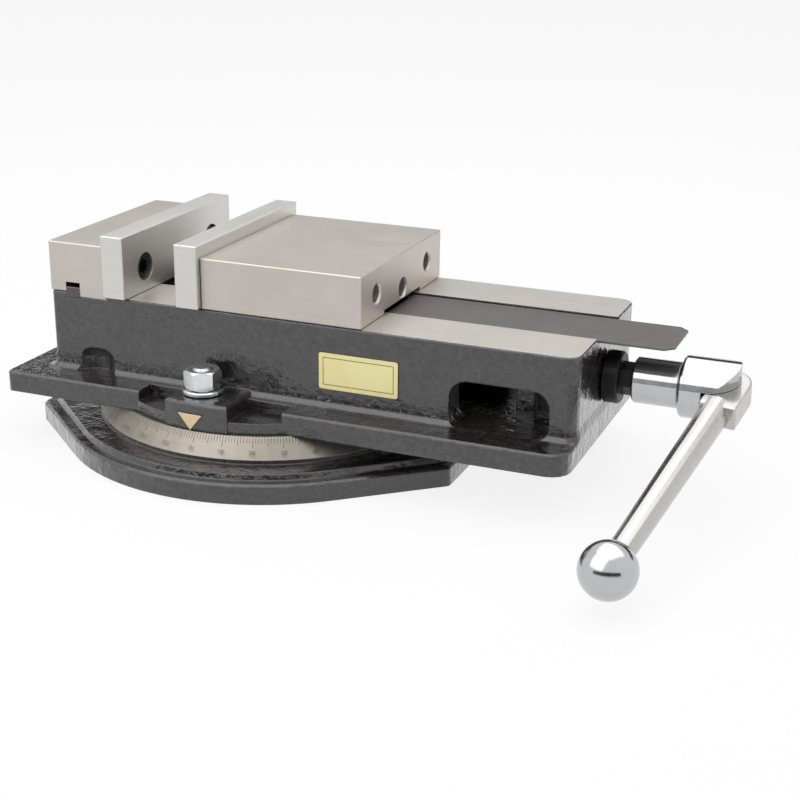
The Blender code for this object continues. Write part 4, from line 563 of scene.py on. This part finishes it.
def make_round_knob(material):
    """The ball knob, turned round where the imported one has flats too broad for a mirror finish."""
    centre = middle("ball_knob")
    radius = min(high("ball_knob") - low("ball_knob")) / 2
    builder = bmesh.new()
    bmesh.ops.create_uvsphere(builder, u_segments=KNOB_STEPS, v_segments=KNOB_STEPS // 2, radius=radius)
    bmesh.ops.translate(builder, verts=builder.verts, vec=centre)
    for face in builder.faces:
        face.smooth = True
    mesh = bpy.data.meshes.new("ball_knob_polished")
    builder.to_mesh(mesh)
    builder.free()
    piece = new_piece("ball_knob_polished", mesh, material, "arm_unit")
    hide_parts("ball_knob")


def number_scale(material):
    """Engraved numbers of the swivel scale, one each ten degrees, flat on the ring's bevel."""
    bevel_height = RING_TOP_Z - RING_FOOT_Z - RING_FOOT_HEIGHT
    bevel_width = RING_FOOT_RADIUS - RING_TOP_RADIUS
    slope = math.atan2(bevel_height, bevel_width)
    height = RING_FOOT_Z + SCALE_NUMBER_RISE
    radius = RING_TOP_RADIUS + bevel_width * (RING_TOP_Z - height) / bevel_height + SCALE_NUMBER_STAND
    for degrees in range(-180, 180, SCALE_NUMBER_STEP):
        text = bpy.data.curves.new("scale_number", "FONT")
        text.body = str(min(abs(degrees), 180 - abs(degrees)))
        text.size = SCALE_NUMBER_SIZE
        text.align_x = "CENTER"
        text.align_y = "CENTER"
        text.materials.append(material)
        piece = bpy.data.objects.new(f"scale_number_{degrees + 180:03d}", text)
        bpy.context.scene.collection.objects.link(piece)
        around = Matrix.Rotation(math.radians(degrees), 4, "Z")
        place = Matrix.Translation((0, -radius, height))
        lean = Matrix.Rotation(slope, 4, "X")
        piece.matrix_world = around @ place @ lean
        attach(piece, "base_unit")


# Camera, floor and lights

def place_camera():
    data = bpy.data.cameras.new("photograph_view")
    data.sensor_width = SENSOR_MM
    data.lens = FOCAL_PIXELS / FRAME_PIXELS * SENSOR_MM
    camera = bpy.data.objects.new("photograph_view", data)
    bpy.context.scene.collection.objects.link(camera)
    turn = Matrix.Rotation(math.radians(CAMERA_AZIMUTH), 4, "Z")
    tilt = Matrix.Rotation(math.radians(90 - CAMERA_ELEVATION), 4, "X")
    roll = Matrix.Rotation(math.radians(CAMERA_ROLL), 4, "Z")
    camera.matrix_world = Matrix.Translation(CAMERA_PLACE) @ turn @ tilt @ roll
    bpy.context.scene.camera = camera


def seen_directly(tree):
    """1 for rays from the camera, and for those that metal or glass mirrors."""
    camera = add(tree, "LightPath", output="Is Camera Ray")
    glossy = add(tree, "LightPath", output="Is Glossy Ray")
    through = add(tree, "LightPath", output="Is Transmission Ray")
    mirrored = add(tree, "Math", {0: glossy, 1: through}, operation="MAXIMUM")
    return add(tree, "Math", {0: camera, 1: mirrored}, operation="MAXIMUM")


def white_world():
    """White where the camera, metal or glass sees it, and a softer level for what it lights."""
    world = bpy.data.worlds.new("white_surroundings")
    bpy.context.scene.world = world
    world.use_nodes = True
    tree = world.node_tree
    strength = add(tree, "MapRange", {"Value": seen_directly(tree), "To Min": AMBIENT_LEVEL, "To Max": 1.0})
    background = tree.nodes["Background"]
    background.inputs["Color"].default_value = (1, 1, 1, 1)
    tree.links.new(strength, background.inputs["Strength"])


def flat_sheet(name, size, material):
    """A flat sheet on the stage, made at the origin facing up."""
    builder = bmesh.new()
    corners = ((-0.5, -0.5), (0.5, -0.5), (0.5, 0.5), (-0.5, 0.5))
    builder.faces.new([builder.verts.new((x * size[0], y * size[1], 0)) for x, y in corners])
    mesh = bpy.data.meshes.new(name)
    builder.to_mesh(mesh)
    builder.free()
    mesh.materials.append(material)
    sheet = bpy.data.objects.new(name, mesh)
    bpy.context.scene.collection.objects.link(sheet)
    return sheet


def make_floor():
    """A pale floor that keeps a faint shadow and meets the white surroundings without a line."""
    material, tree, place = new_material("white_studio_paper")
    fibre = add(tree, "TexNoise", {"Vector": place, "Scale": 1000 / 60, "Detail": 2.0})
    colour = add(tree, "Mix", {0: fibre, 6: linear("#EFEFEF"), 7: linear("#F4F4F4")}, 2,
                 data_type="RGBA")
    finish_material(material, Base_Color=colour, Roughness=0.9)
    glow = add(tree, "Emission", {"Color": (1, 1, 1, 1), "Strength": 1.0})
    share = add(tree, "Math", {0: seen_directly(tree), 1: FLOOR_WHITE_SHARE}, operation="MULTIPLY")
    paper = tree.nodes["Principled BSDF"].outputs[0]
    mixed = add(tree, "MixShader", {0: share, 1: paper, 2: glow})
    tree.links.new(mixed, tree.nodes["Material Output"].inputs["Surface"])
    flat_sheet("studio_floor", (FLOOR_SIZE, FLOOR_SIZE), material)


def aimed(thing, place):
    """Puts a lamp or card at a place, facing the object."""
    thing.location = place
    thing.rotation_euler = (Vector(place) - Vector(STUDIO_AIM)).to_track_quat("Z", "Y").to_euler()


def felt_card(name, place, size, shades):
    """A felt card beside the lamps, which gives polished metal and gloss paint their darker lines."""
    material, tree, coordinates = new_material("felt_card")
    felt = add(tree, "TexNoise", {"Vector": coordinates, "Scale": 1000 / 30, "Detail": 2.0})
    colour = add(tree, "Mix", {0: felt, 6: linear(shades[0]), 7: linear(shades[1])}, 2, data_type="RGBA")
    finish_material(material, Base_Color=colour, Roughness=0.95, Specular_IOR_Level=0.1)
    card = flat_sheet(name, size, material)
    aimed(card, place)
    card.visible_camera = False
    card.visible_shadow = False
    card.visible_diffuse = False


def soft_light(name, place, size, power):
    data = bpy.data.lights.new(name, "AREA")
    data.shape = "RECTANGLE"
    data.size, data.size_y = size
    data.energy = power
    light = bpy.data.objects.new(name, data)
    bpy.context.scene.collection.objects.link(light)
    aimed(light, place)


def light_studio():
    soft_light("key_softbox", *KEY_SOFTBOX)
    soft_light("top_softbox", *TOP_SOFTBOX)
    felt_card("dark_card_behind", *CARD_BEHIND)
    felt_card("dark_card_front", *CARD_IN_FRONT)


place_camera()
white_world()
make_floor()
light_studio()
finishes = dress_nodes()
make_threaded_screw(finishes["ground_steel"], finishes["black_steel"])
make_round_knob(finishes["chrome"])
number_scale(scale_ink())
bpy.context.scene.view_settings.view_transform = "Standard"
